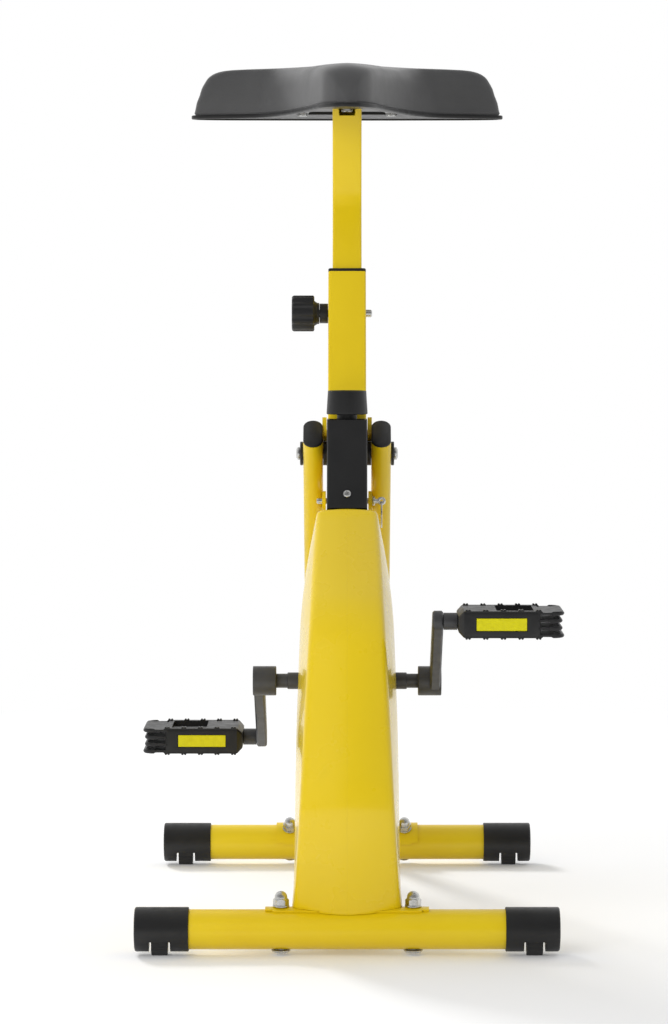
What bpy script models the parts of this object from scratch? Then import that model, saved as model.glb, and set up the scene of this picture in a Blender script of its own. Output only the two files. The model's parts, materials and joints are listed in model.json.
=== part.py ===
"""Folding desk exercise bike: a leaning main tube with a saddle, a folding twin-tube rear leg,
two stabilizer feet, pedals, and a belt-driven magnetic flywheel inside a two-part housing.

Metres, +Z up, the rider faces -Y and the right-hand side of the picture is +X. The floor is
Z = 0 and the origin lies in the middle of the outline, on the floor. Names with left and right
follow the picture: left is -X.
"""

import math

import bmesh
import bpy
from mathutils import Matrix, Vector

MM = 0.001
DEG = math.pi / 180

# Clearances
SEAT_GAP = 0.3 * MM
RUN_GAP = 0.4 * MM

# Stabilizer tubes and their end caps
WHEELBASE = 576.4 * MM
STAB_DIA = 38.1 * MM
STAB_WALL = 1.5 * MM
STAB_Z = 24.6 * MM
CAP_REACH = 202.8 * MM
CAP_OVERHANG = 37.8 * MM
STAB_HALF = CAP_REACH - CAP_OVERHANG
CAP_DIA = 42.3 * MM
CAP_LENGTH = 52.0 * MM
CAP_CROWN = 2.2 * MM
CAP_EDGE = 1.2 * MM
SLOT_WIDTH = 20.7 * MM
SLOT_TOP = 15.0 * MM

# Levelling discs, eccentric on their axle stubs
DISC_R = 14.5 * MM
DISC_OFFSET = 2.0 * MM
DISC_WIDTH = 15.5 * MM
DISC_INSET = 24.2 * MM
DISC_X = CAP_REACH - DISC_INSET
DISC_STUB_R = 3.0 * MM
DISC_STUB = 2.4 * MM
DISC_RIBS = 8
DISC_RIB_SHARE = 0.3

# Stabilizer bolts and their saddle brackets
BOLT_X = 63.0 * MM
BOLT_R = 4.0 * MM
BOLT_HEAD_R = 9.3 * MM
BOLT_HEAD = 3.4 * MM
NUT_R = 8.0 * MM
NUT_HEIGHT = 15.0 * MM
BRACKET_HALF = 78.0 * MM
BRACKET_WALL = 2.2 * MM
BRACKET_SPREAD = 27.0 * DEG
REAR_SPREAD = 52.0 * DEG

# Main tube, leaning back from the front stabilizer
LEAN = 26.8 * DEG
TUBE_FOOT = (9.0 * MM, 40.0 * MM)
TUBE_SIZE = 38.5 * MM
TUBE_WALL = 2.0 * MM
TUBE_EDGE = 2.5 * MM
TUBE_TOP = 677.5 * MM
TUBE_CUT_Z = 38.0 * MM
TOE_TRIM_Y = -8.0 * MM
COLLAR_HEIGHT = 3.2 * MM
BUSHING_LENGTH = 80.0 * MM

# Seat post: straight in the tube, then bent forward to the saddle
POST_SIZE = 29.8 * MM
POST_WALL = 1.8 * MM
POST_FOOT = 540.0 * MM
POST_BEND_AT = 772.0 * MM
POST_BEND = 47.8 * DEG
POST_BEND_R = 45.0 * MM
POST_HOLES = 7
POST_PITCH = 20.0 * MM
POST_DOWN_STEPS = 2

# Height pin and its knob
PIN_AT = 638.6 * MM
HEIGHT_PIN_R = 3.9 * MM
HEIGHT_PIN_END = 25.6 * MM
HEIGHT_COLLAR_R = 10.1 * MM
HEIGHT_COLLAR = 8.6 * MM
KNOB_SHOULDER = 5.1 * MM
KNOB_SHOULDER_R = 13.2 * MM
KNOB_HEAD = 23.0 * MM
KNOB_R = 18.4 * MM
KNOB_LOBES = 12

# Saddle
SADDLE_Z = 816.5 * MM
SADDLE_LIP = 4.0 * MM
SADDLE_LIP_OUT = 3.0 * MM
SADDLE_TOP = 869.0 * MM
SADDLE_NOSE_Y = 214.0 * MM
SADDLE_LENGTH = 282.0 * MM
SADDLE_WIDTH = 332.0 * MM
PLATE_RECESS = 5.0 * MM
PLATE_WALL = 4.0 * MM
SEAT_BOLT_R = 4.0 * MM
SEAT_BOLT_HEAD_R = 6.5 * MM
SEAT_BOLT_HEAD = 4.5 * MM
SEAT_BOLT_SIDE = 46.0 * MM
SEAT_BOLT_REAR = 62.0 * MM
SEAT_BOLT_FRONT = 20.0 * MM
SEAT_NOTCH_R = 8.6 * MM
SEAT_NOTCH = 14.0 * MM
SEAT_EAR = 7.5 * MM

# The saddle's plan: shares of its half width and of its length, nose to tail
SADDLE_PLAN = (
    (0.0, 0.0), (0.045, 0.006), (0.09, 0.022), (0.155, 0.08), (0.193, 0.15), (0.25, 0.3),
    (0.305, 0.43), (0.37, 0.56), (0.45, 0.68), (0.545, 0.765), (0.68, 0.805), (0.83, 0.832),
    (0.93, 0.852), (0.985, 0.875), (1.0, 0.905), (0.985, 0.937), (0.93, 0.962), (0.8, 0.982),
    (0.55, 0.993), (0.25, 0.999), (0.0, 1.0),
)

# Tension control: cover box on the front of the tube, knob on top
BOX_FOOT = 395.2 * MM
BOX_FOOT_Z = TUBE_FOOT[1] + BOX_FOOT * math.cos(LEAN)
BOX_RISE = 111.75 * MM
BOX_TOP_Z = BOX_FOOT_Z + BOX_RISE
BOX_WIDTH = 40.0 * MM
BOX_DEPTH = 39.4 * MM
BOX_WALL = 2.2 * MM
BOX_EDGE = 1.5 * MM
BOX_SCREW_UP = 15.0 * MM
BOX_SCREW_AT = BOX_FOOT + BOX_SCREW_UP
SCREW_HEAD_R = 4.0 * MM
SCREW_R = 2.0 * MM
DIAL_BACK = 13.8 * MM
DIAL_Y = TUBE_FOOT[0] + BOX_FOOT * math.sin(LEAN) + DIAL_BACK
DIAL_CLEAR = 5.1 * MM
DIAL_LOW_Z = BOX_TOP_Z + DIAL_CLEAR
DIAL_HEIGHT = 23.6 * MM
DIAL_LOW_R = 20.5 * MM
DIAL_TOP_R = 19.2 * MM
DIAL_NECK_R = 10.0 * MM
DIAL_DRUM_R = 8.0 * MM
DIAL_DRUM = 13.0 * MM
CABLE_OFF = -32.4 * MM
CABLE_RISE = 88.0 * MM

# Fold: pivot on the main tube, twin flat-oval leg tubes outside it
PIVOT_AT = 481.0 * MM
PIVOT_BOLT_R = 5.0 * MM
PIVOT_SLEEVE_R = 10.5 * MM
SPACER_R = 12.0 * MM
WASHER = 3.0 * MM
PIVOT_HEAD_R = 6.5 * MM
PIVOT_HEAD = 3.5 * MM
LEG_INNER = 24.4 * MM
LEG_THICK = 19.6 * MM
LEG_DEPTH = 40.0 * MM
LEG_WALL = 1.6 * MM
LEG_ABOVE = 24.5 * MM
LEG_COPE = 8.0 * MM
PLUG_FLANGE = 2.5 * MM
YOKE_LOW = 13.2 * MM
YOKE_HIGH = 35.0 * MM
YOKE_WALL = 3.6 * MM
FOLD = 27.0 * DEG

# Lock pin in the arc slots of the leg's lock plates
LOCK_REACH = 52.3 * MM
LOCK_PIN_R = 3.0 * MM
LOCK_PLATE = 3.0 * MM
LOCK_PLATE_HALF = 10.0 * MM
LOCK_LEFT_END = 30.5 * MM
LOCK_EYE_X = 34.5 * MM
LOCK_EYE_R = 4.3 * MM
RING_R = 13.5 * MM
RING_WIRE = 0.9 * MM

# Crank, drive pulley, belt and flywheel
CRANK_AT = 236.0 * MM
CRANK_LENGTH = 130.0 * MM
CRANK_ANGLE = 31.5 * DEG
SHELL_HALF = 22.4 * MM
SHELL_R = 20.0 * MM
SHELL_WALL = 3.0 * MM
AXLE_R = 7.0 * MM
AXLE_COLLAR_R = 8.2 * MM
AXLE_COLLAR_END = 58.4 * MM
HUB_INNER = 69.5 * MM
HUB_OUTER = 92.3 * MM
HUB_R = 14.4 * MM
ARM_INNER = 81.0 * MM
ARM_OUTER = 91.3 * MM
ARM_END_R = 10.1 * MM
PULLEY_R = 96.0 * MM
BELT_X = (24.4 * MM, 32.4 * MM)
BELT_THICK = 3.0 * MM
SMALL_PULLEY_R = 14.0 * MM
FLYWHEEL_BELOW = 124.0 * MM
FLYWHEEL_R = 82.0 * MM
FLYWHEEL_RIM = 16.0 * MM
FLYWHEEL_X = (-37.0 * MM, -24.5 * MM)
FLYWHEEL_AXLE_R = 5.0 * MM
FLYWHEEL_SHELL_R = 13.0 * MM

# Magnet arm round the flywheel rim
MAGNET_GAP = 4.0 * MM
MAGNET_THICK = 5.0 * MM
ARM_THICK = 3.0 * MM
ARM_FROM = -20.0 * DEG
ARM_TO = 78.0 * DEG
ARM_STUD_R = 3.0 * MM
CABLE_R = 1.5 * MM
SPRING_R = 6.2 * MM
SPRING_WIRE = 0.8 * MM
SPRING_TURNS = 3

# Pedals
PEDAL_INNER = 105.0 * MM
PEDAL_WIDTH = 100.5 * MM
PEDAL_DEPTH = 80.0 * MM
PEDAL_HEIGHT = 25.2 * MM
PEDAL_RAIL = 9.0 * MM
PEDAL_BARREL_R = 10.0 * MM
PEDAL_CHAMFER = 5.0 * MM
PEDAL_DECK = 36.0 * MM
PEDAL_END = 5.0 * MM
TREAD_PITCH = 16.6 * MM
TREAD_HEIGHT = 1.6 * MM
TREAD_WIDTH = 5.4 * MM
TREAD_START = 6.0 * MM
TREADS = 5
FINS = 4
FIN_LENGTH = 24.5 * MM
FIN_LIP = 2.1 * MM
SPINDLE_BOSS_R = 8.2 * MM
SPINDLE_R = 6.0 * MM
REFLECTOR = (47.6 * MM, 11.9 * MM, 3.0 * MM)

# Housing: shells that swell over the pulley, split on the middle plane
HOUSING_WALL = 2.5 * MM
HOUSING_ROOM = 17.0 * MM
FLYWHEEL_ROOM = 23.0 * MM
HOUSING_FOOT_FRONT = (-12.0 * MM, 40.0 * MM)
HOUSING_FOOT_REAR = (20.0 * MM, 32.5 * MM)
HOUSING_TOP = 394.6 * MM
HOUSING_TOP_FRONT = -62.0 * MM
HOUSING_TOP_REAR = 25.0 * MM
HOUSING_LOW_HALF = 50.4 * MM
HOUSING_TOP_HALF = 31.0 * MM
HOUSING_CROWN = 12.0 * MM
HOUSING_REAR_CROWN = 3.0 * MM
HOUSING_CORNER = 5.0 * MM
HOUSING_SWELL = 12.0 * MM
HOUSING_TOP_ROUND = 5.0 * MM
SEAM = 0.4 * MM

ROUND = 20
DRILL = 8


def rotate(angle, reach):
    """A point in the side plane: reach from the centre at this angle from +Y towards +Z."""
    return (reach * math.cos(angle), reach * math.sin(angle))


def shifted(point, by):
    return (point[0] + by[0], point[1] + by[1])


def between(low, high, share):
    return low + (high - low) * share


# Side-plane points, as (Y, Z) before the origin is moved to the middle of the outline
TUBE_DIR = (math.sin(LEAN), math.cos(LEAN))
TUBE_BACK = (math.cos(LEAN), -math.sin(LEAN))


def from_foot(along, off=0.0):
    """The point this far up the main tube's axis, and this far behind it."""
    return (
        TUBE_FOOT[0] + along * TUBE_DIR[0] + off * TUBE_BACK[0],
        TUBE_FOOT[1] + along * TUBE_DIR[1] + off * TUBE_BACK[1],
    )


PIVOT_RAW = from_foot(PIVOT_AT)
CRANK_RAW = from_foot(CRANK_AT)
FLYWHEEL_RAW = from_foot(CRANK_AT - FLYWHEEL_BELOW)
HOUSING_PULLEY_R = PULLEY_R + BELT_THICK + HOUSING_ROOM + HOUSING_WALL
HOUSING_FLYWHEEL_R = FLYWHEEL_R + FLYWHEEL_ROOM + HOUSING_WALL
PEDAL_FRONT = CRANK_RAW[0] - CRANK_LENGTH * math.cos(CRANK_ANGLE) - PEDAL_DEPTH / 2
REACH_FRONT = min(FLYWHEEL_RAW[0] - HOUSING_FLYWHEEL_R, PEDAL_FRONT)
REACH_REAR = WHEELBASE + CAP_DIA / 2
MIDDLE_Y = (REACH_FRONT + REACH_REAR) / 2


def to_world(raw):
    return (raw[0] - MIDDLE_Y, raw[1])


FOOT = to_world(TUBE_FOOT)
FRONT = (-MIDDLE_Y, STAB_Z)
REAR = (WHEELBASE - MIDDLE_Y, STAB_Z)
PIVOT = to_world(PIVOT_RAW)
CRANK = to_world(CRANK_RAW)
FLYWHEEL = to_world(FLYWHEEL_RAW)
LEG_LENGTH = math.dist(PIVOT, REAR)
LEG_ANGLE = math.atan2(REAR[0] - PIVOT[0], PIVOT[1] - REAR[1])
DISC_AXLE_Z = DISC_R * math.cos(2 * math.pi * DISC_RIB_SHARE / DISC_RIBS) + DISC_OFFSET
LOCK_AT = PIVOT_AT - LOCK_REACH
TUBE_HALF = TUBE_SIZE / 2
POST_HALF = POST_SIZE / 2


def on_tube(along, off=0.0):
    return to_world(from_foot(along, off))


# Materials


def paint(name, color, roughness, metallic=0.0):
    found = bpy.data.materials.get(name)
    if found:
        return found
    made = bpy.data.materials.new(name)
    made.use_nodes = True
    shader = made.node_tree.nodes["Principled BSDF"]
    shader.inputs["Base Color"].default_value = (*color, 1.0)
    shader.inputs["Roughness"].default_value = roughness
    shader.inputs["Metallic"].default_value = metallic
    made.diffuse_color = (*color, 1.0)
    return made


def yellow_paint():
    return paint("yellow_paint", (0.72, 0.50, 0.006), 0.35)


def yellow_shell():
    return paint("yellow_shell", (0.74, 0.54, 0.01), 0.18)


def black_plastic():
    return paint("black_plastic", (0.03, 0.03, 0.03), 0.5)


def dark_steel():
    return paint("dark_steel", (0.08, 0.08, 0.085), 0.4, 0.6)


def zinc():
    return paint("zinc", (0.42, 0.42, 0.43), 0.3, 1.0)


def cast_iron():
    return paint("cast_iron", (0.12, 0.12, 0.13), 0.6, 0.8)


def rubber():
    return paint("belt_rubber", (0.015, 0.015, 0.016), 0.8)


def saddle_skin():
    return paint("saddle_skin", (0.075, 0.075, 0.078), 0.55)


def reflector_yellow():
    return paint("reflector_yellow", (0.74, 0.66, 0.01), 0.2)


# Building blocks


def empty(name, place, tilt=0.0):
    """An axis marker in the side plane, tilted about X."""
    made = bpy.data.objects.new(name, None)
    made.empty_display_size = 0.03
    made.location = (0.0, *place)
    made.rotation_euler = (tilt, 0.0, 0.0)
    bpy.context.scene.collection.objects.link(made)
    return made


def solid(name, mesh, skin, parent=None, origin=(0.0, 0.0, 0.0), smooth=35.0):
    """Makes an object from a bmesh, with its origin at the given point of its parent's space."""
    bmesh.ops.remove_doubles(mesh, verts=mesh.verts, dist=1e-7)
    bmesh.ops.recalc_face_normals(mesh, faces=mesh.faces)
    data = bpy.data.meshes.new(name)
    mesh.to_mesh(data)
    mesh.free()
    data.transform(Matrix.Translation(-Vector(origin)))
    data.materials.append(skin)
    data.shade_smooth()
    data.set_sharp_from_angle(angle=smooth * DEG)
    made = bpy.data.objects.new(name, data)
    made.location = origin
    made.parent = parent
    bpy.context.scene.collection.objects.link(made)
    return made


def helper(mesh, parent=None, name="helper"):
    """A cutter or an added lump: it shapes another object and isn't a piece itself."""
    made = solid(name, mesh, paint("helper", (0.5, 0.5, 0.5), 0.5), parent)
    made.hide_render = True
    made.display_type = "WIRE"
    return made


def combine(target, other, operation):
    step = target.modifiers.new(other.name, "BOOLEAN")
    step.operation = operation
    step.solver = "EXACT"
    step.object = other


def cut(target, mesh, parent=None):
    combine(target, helper(mesh, parent, target.name + "_cutter"), "DIFFERENCE")


def join(target, mesh, parent=None):
    combine(target, helper(mesh, parent, target.name + "_lump"), "UNION")


def bevelled(target, width, segments=2, angle=40.0):
    step = target.modifiers.new("edges", "BEVEL")
    step.width = width
    step.segments = segments
    step.limit_method = "ANGLE"
    step.angle_limit = angle * DEG
    step.harden_normals = False
    return target


def skin_rings(mesh, rings, caps=True, loop=False):
    """Joins rings of equal count into a tube of quads, closed at its ends or on itself."""
    made = [[mesh.verts.new(point) for point in ring] for ring in rings]
    pairs = list(zip(made, made[1:]))
    if loop:
        pairs.append((made[-1], made[0]))
    for low, high in pairs:
        for i in range(len(low)):
            j = (i + 1) % len(low)
            mesh.faces.new((low[i], low[j], high[j], high[i]))
    if caps and not loop:
        mesh.faces.new(list(reversed(made[0])))
        mesh.faces.new(made[-1])
    return mesh


def turned(profile, centre=(0.0, 0.0), steps=ROUND, axis="X", mesh=None):
    """A solid of revolution. The profile is a list of (place along the axis, radius)."""
    mesh = mesh or bmesh.new()
    verts = [mesh.verts.new((place, radius, 0.0)) for place, radius in profile]
    edges = [mesh.edges.new(pair) for pair in zip(verts, verts[1:])]
    if profile[0][1] > 0 and profile[-1][1] > 0:
        edges.append(mesh.edges.new((verts[-1], verts[0])))
    bmesh.ops.spin(
        mesh, geom=verts + edges, cent=(0, 0, 0), axis=(1, 0, 0), angle=2 * math.pi, steps=steps
    )
    bmesh.ops.remove_doubles(mesh, verts=mesh.verts, dist=2e-6)
    if axis == "Y":
        turn = Matrix.Rotation(math.pi / 2, 4, "Z")
    elif axis == "Z":
        turn = Matrix.Rotation(-math.pi / 2, 4, "Y")
    else:
        turn = Matrix.Identity(4)
    bmesh.ops.transform(mesh, matrix=turn, verts=mesh.verts)
    bmesh.ops.translate(mesh, vec=(0.0, *centre), verts=mesh.verts)
    return mesh


def rod(low, high, radius, centre=(0.0, 0.0), steps=ROUND):
    """A plain round bar along X."""
    return turned([(low, 0.0), (low, radius), (high, radius), (high, 0.0)], centre, steps)


def drill_up(radius, place, low, high, tilt=0.0):
    """A cutter for an upright round hole, with running clearance, tilted about X."""
    wide = radius + RUN_GAP
    mesh = turned([(low, 0.0), (low, wide), (high, wide), (high, 0.0)], steps=DRILL, axis="Z")
    bmesh.ops.rotate(mesh, matrix=Matrix.Rotation(tilt, 3, "X"), verts=mesh.verts)
    bmesh.ops.translate(mesh, vec=place, verts=mesh.verts)
    return mesh


def drill_across(radius, place):
    """A cutter for a round hole right across the bike, with running clearance."""
    return rod(-0.1, 0.1, radius + RUN_GAP, place, DRILL)


def pipe(low, high, outer, inner, centre=(0.0, 0.0), steps=ROUND):
    """A round tube along X."""
    return turned([(low, inner), (low, outer), (high, outer), (high, inner)], centre, steps)


def plate(outline, low, high, mesh=None):
    """An outline in the side plane, extruded along X."""
    mesh = mesh or bmesh.new()
    face = mesh.faces.new([mesh.verts.new((low, *point)) for point in outline])
    grown = bmesh.ops.extrude_face_region(mesh, geom=[face])["geom"]
    bmesh.ops.translate(
        mesh,
        vec=(high - low, 0.0, 0.0),
        verts=[item for item in grown if isinstance(item, bmesh.types.BMVert)],
    )
    return mesh


def block(low, high):
    """A box between two corners."""
    mesh = bmesh.new()
    bmesh.ops.create_cube(mesh, size=1.0)
    size = [high[i] - low[i] for i in range(3)]
    middle = [(high[i] + low[i]) / 2 for i in range(3)]
    bmesh.ops.scale(mesh, vec=size, verts=mesh.verts)
    bmesh.ops.translate(mesh, vec=middle, verts=mesh.verts)
    return mesh


def rounded(width, depth, radius, steps=3):
    """A rectangle with round corners, centred, as (x, y) points."""
    points = []
    for corner in range(4):
        sign_x = 1 if corner in (0, 3) else -1
        sign_y = 1 if corner in (0, 1) else -1
        for k in range(steps + 1):
            angle = (corner + k / steps) * math.pi / 2
            points.append(
                (
                    sign_x * (width / 2 - radius) + radius * math.cos(angle),
                    sign_y * (depth / 2 - radius) + radius * math.sin(angle),
                )
            )
    return points


def beam(outline, low, high, shift=(0.0, 0.0)):
    """A flat outline of (x, y) points, extruded along Z."""
    return skin_rings(
        bmesh.new(),
        [[(x + shift[0], y + shift[1], z) for x, y in outline] for z in (low, high)],
    )


def arc(centre, radius, start, end, steps):
    return [
        shifted(centre, rotate(between(start, end, k / steps), radius)) for k in range(steps + 1)
    ]


def arc_band(centre, inner, outer, start, end, steps=8):
    """The outline of a piece of ring."""
    return arc(centre, outer, start, end, steps) + arc(centre, inner, end, start, steps)


def arc_slot(centre, radius, half, start, end, steps=8):
    """The outline of a curved slot with round ends."""
    first = shifted(centre, rotate(start, radius))
    last = shifted(centre, rotate(end, radius))
    return (
        arc(centre, radius + half, start, end, steps)
        + arc(last, half, end, end + math.pi, 4)[1:-1]
        + arc(centre, radius - half, end, start, steps)
        + arc(first, half, start + math.pi, start + 2 * math.pi, 4)[1:-1]
    )


def tangent_angle(a, ra, b, rb, side):
    """The direction of the outward normal of the line that touches circles a and b."""
    heading = math.atan2(b[1] - a[1], b[0] - a[0])
    return heading + side * math.acos((ra - rb) / math.dist(a, b))


def hull(a, ra, b, rb, steps=8, less=0):
    """The outline of a band round two circles, with fewer steps on the second if wished."""
    right = tangent_angle(a, ra, b, rb, -1)
    left = tangent_angle(a, ra, b, rb, 1)
    return arc(b, rb, right, left, steps - less) + arc(a, ra, left, right + 2 * math.pi, steps)


def chain(stops, side, steps):
    """One side of a band that wraps a chain of circles. A stop of radius 0 is a corner."""
    points = []
    for i, (centre, radius) in enumerate(stops):
        if radius == 0.0:
            points.append(centre)
            continue
        start = tangent_angle(*stops[i - 1], *stops[i], side)
        end = tangent_angle(*stops[i], *stops[i + 1], side)
        points += arc(centre, radius, start, end, steps)
    return points


# Stabilizers


def stabilizer(name, place, bolt_tilt):
    """A round cross tube, drilled for its two bolts."""
    tube = solid(
        name,
        pipe(-STAB_HALF, STAB_HALF, STAB_DIA / 2, STAB_DIA / 2 - STAB_WALL, place),
        yellow_paint(),
    )
    for side in (-1, 1):
        cut(tube, drill_up(BOLT_R, (side * BOLT_X, *place), -STAB_DIA, STAB_DIA, bolt_tilt))
    return tube


def end_cap(name, place, side):
    """A moulded sleeve over the tube's end, slotted below for its levelling disc."""
    inner = CAP_REACH - CAP_LENGTH
    stop = STAB_HALF + SEAT_GAP
    radius = CAP_DIA / 2
    profile = [
        (stop, 0.0),
        (stop, STAB_DIA / 2 + SEAT_GAP),
        (inner, STAB_DIA / 2 + SEAT_GAP),
        (inner, radius),
        (CAP_REACH - CAP_CROWN - CAP_EDGE, radius),
        (CAP_REACH - CAP_CROWN, radius - CAP_EDGE),
        (CAP_REACH, 0.0),
    ]
    cap = solid(name, turned([(side * x, r) for x, r in profile], place), black_plastic())
    slot_half = SLOT_WIDTH / 2
    cut(
        cap,
        block(
            (side * DISC_X - slot_half, place[0] - CAP_DIA, -CAP_DIA),
            (side * DISC_X + slot_half, place[0] + CAP_DIA, SLOT_TOP),
        ),
    )
    pocket_half = DISC_WIDTH / 2 + RUN_GAP
    axle = (place[0], DISC_AXLE_Z)
    pocket_r = DISC_R + DISC_OFFSET + RUN_GAP
    cut(cap, rod(side * DISC_X - pocket_half, side * DISC_X + pocket_half, pocket_r, axle, 16))
    stub_half = DISC_WIDTH / 2 + DISC_STUB + SEAT_GAP
    cut(cap, rod(side * DISC_X - stub_half, side * DISC_X + stub_half, DISC_STUB_R + RUN_GAP, axle, 8))
    return cap


def levelling_disc(name, place, side):
    """An eccentric foot disc with grip notches; its bottom is the bike's lowest point."""
    half = DISC_WIDTH / 2
    middle = (0.0, -DISC_OFFSET)
    outline = []
    for rib in range(DISC_RIBS):
        step = 2 * math.pi / DISC_RIBS
        for share, depth in ((-DISC_RIB_SHARE, 0.0), (DISC_RIB_SHARE, 0.0), (0.5, 0.8 * MM)):
            angle = -math.pi / 2 + (rib + share) * step
            outline.append(shifted(middle, rotate(angle, DISC_R - depth)))
    section = [(y + place[0], z + DISC_AXLE_Z) for y, z in outline]
    disc = solid(
        name,
        plate(section, side * DISC_X - half, side * DISC_X + half),
        black_plastic(),
        origin=(side * DISC_X, place[0], DISC_AXLE_Z),
    )
    stub_half = half + DISC_STUB
    axle = (place[0], DISC_AXLE_Z)
    join(disc, rod(side * DISC_X - stub_half, side * DISC_X + stub_half, DISC_STUB_R, axle, 8))
    return disc


def stabilizer_bolt(name, place, side, tilt, spread_radius):
    """A carriage bolt with a domed nut, clamping the bracket to the tube."""
    seat = STAB_DIA / 2 + SEAT_GAP
    top = spread_radius + SEAT_GAP
    profile = [
        (-seat - BOLT_HEAD, 0.0),
        (-seat - BOLT_HEAD, BOLT_HEAD_R * 0.55),
        (-seat - BOLT_HEAD * 0.3, BOLT_HEAD_R),
        (-seat, BOLT_HEAD_R),
        (-seat, BOLT_R),
        (top, BOLT_R),
        (top, NUT_R),
        (top + NUT_HEIGHT * 0.45, NUT_R),
        (top + NUT_HEIGHT * 0.8, NUT_R * 0.74),
        (top + NUT_HEIGHT, 0.0),
    ]
    mesh = turned(profile, steps=10, axis="Z")
    bmesh.ops.rotate(mesh, matrix=Matrix.Rotation(tilt, 3, "X"), verts=mesh.verts)
    origin = (side * BOLT_X, *place)
    bmesh.ops.translate(mesh, vec=origin, verts=mesh.verts)
    return solid(name, mesh, zinc(), origin=origin)


def stabilizer_set(word, place, tilt, spread_radius):
    stabilizer(word + "_stabilizer", place, tilt)
    for hand, side in (("left", -1), ("right", 1)):
        end_cap(f"{word}_cap_{hand}", place, side)
        levelling_disc(f"{word}_disc_{hand}", place, side)
        stabilizer_bolt(f"{word}_bolt_{hand}", place, side, tilt, spread_radius)


def saddle_bracket(place, spread, tilt):
    """The outline of the curved plate that sits on a stabilizer."""
    inner = STAB_DIA / 2 + SEAT_GAP
    top = math.pi / 2 + tilt
    return arc_band(place, inner, inner + BRACKET_WALL, top - spread, top + spread, 6)


# Main frame


def main_frame(tube):
    """The square tube with its bracket, bearing shells, pivot sleeve and magnet bracket."""
    low = -60.0 * MM
    frame = solid(
        "main_frame",
        beam(rounded(TUBE_SIZE, TUBE_SIZE, TUBE_EDGE, 2), low, TUBE_TOP),
        yellow_paint(),
        tube,
    )
    bore = TUBE_SIZE - 2 * TUBE_WALL
    cut(frame, beam(rounded(bore, bore, TUBE_EDGE / 2, 1), low * 2, TUBE_TOP * 1.1), tube)
    cut(frame, block((-TUBE_SIZE, FRONT[0] - 0.2, -0.2), (TUBE_SIZE, FRONT[0] + 0.2, TUBE_CUT_Z)))
    toe = FRONT[0] + TOE_TRIM_Y
    cut(frame, block((-TUBE_SIZE, toe - 0.1, -0.2), (TUBE_SIZE, toe, CRANK[1] - 0.1)))
    join(frame, plate(saddle_bracket(FRONT, BRACKET_SPREAD, 0.0), -BRACKET_HALF, BRACKET_HALF))
    for place, half, outer, inner in (
        (CRANK, SHELL_HALF, SHELL_R, SHELL_R - SHELL_WALL),
        (FLYWHEEL, SHELL_HALF, FLYWHEEL_SHELL_R, FLYWHEEL_AXLE_R + RUN_GAP),
        (PIVOT, TUBE_HALF + SEAT_GAP, PIVOT_SLEEVE_R, PIVOT_BOLT_R + RUN_GAP),
    ):
        cut(frame, rod(-2 * half, 2 * half, (outer + inner) / 2, place, 16))
        join(frame, pipe(-half, half, outer, inner, place, 16))
    join(frame, plate(magnet_bracket(), -SHELL_HALF, -TUBE_HALF + TUBE_WALL / 2))
    stud = magnet_stud()
    join(frame, rod(FLYWHEEL_X[0] - 0.8 * MM, -TUBE_HALF, ARM_STUD_R, stud, DRILL))
    cut(frame, rod(-CAP_REACH, CAP_REACH, STAB_DIA / 2 + SEAT_GAP, FRONT))
    cut(frame, drill_across(LOCK_PIN_R, on_tube(LOCK_AT)))
    cut(frame, drill_across(HEIGHT_PIN_R, on_tube(PIN_AT)))
    for side in (-1, 1):
        cut(frame, drill_up(BOLT_R, (side * BOLT_X, *FRONT), 0.0, STAB_DIA))
    return frame


def magnet_stud():
    """Where the magnet arm's pivot stud stands, behind the flywheel."""
    return shifted(FLYWHEEL, rotate(ARM_FROM, arm_radius()))


def arm_radius():
    """The mid radius of the magnet arm's strip."""
    return FLYWHEEL_R + MAGNET_GAP + MAGNET_THICK + ARM_THICK / 2


def magnet_bracket():
    """A finger plate from the tube's side out to the magnet arm's stud."""
    return hull(shifted(FLYWHEEL, rotate(ARM_FROM, 26.0 * MM)), 14.0 * MM, magnet_stud(), 6.0 * MM, 6)


def post_bushing(tube):
    """The plastic sleeve in the tube's mouth, with the collar that shows on top."""
    outer = TUBE_SIZE - 2 * TUBE_WALL - 2 * SEAT_GAP
    sleeve = solid(
        "post_bushing",
        beam(rounded(outer, outer, TUBE_EDGE / 2, 1), TUBE_TOP - BUSHING_LENGTH, TUBE_TOP + SEAT_GAP * 2),
        black_plastic(),
        tube,
    )
    collar_low = TUBE_TOP + SEAT_GAP
    join(
        sleeve,
        beam(rounded(TUBE_SIZE, TUBE_SIZE, TUBE_EDGE, 2), collar_low, collar_low + COLLAR_HEIGHT),
        tube,
    )
    inner = POST_SIZE + 2 * SEAT_GAP
    cut(sleeve, beam(rounded(inner, inner, 1.5 * MM, 1), 0.0, TUBE_TOP * 1.1), tube)
    cut(sleeve, drill_across(HEIGHT_PIN_R, on_tube(PIN_AT)))
    return sleeve


# Seat post and saddle

POST_TOP_Z = SADDLE_Z + PLATE_RECESS


def post_path():
    """Stations of the seat post in the tube's space: (off, along, tilt of the section)."""
    run = POST_BEND_R * math.tan(POST_BEND / 2)
    stations = [(0.0, POST_FOOT, 0.0)]
    centre = (-POST_BEND_R, POST_BEND_AT - run)
    for k in range(7):
        angle = POST_BEND * k / 6
        stations.append(
            (centre[0] + POST_BEND_R * math.cos(angle), centre[1] + POST_BEND_R * math.sin(angle), angle)
        )
    return stations


def post_axis_at(z):
    """The point of the post's upper stretch at this height, in world (Y, Z)."""
    vertex = on_tube(POST_BEND_AT)
    lean = LEAN - POST_BEND
    return (vertex[0] + (z - vertex[1]) * math.tan(lean), z)


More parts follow.
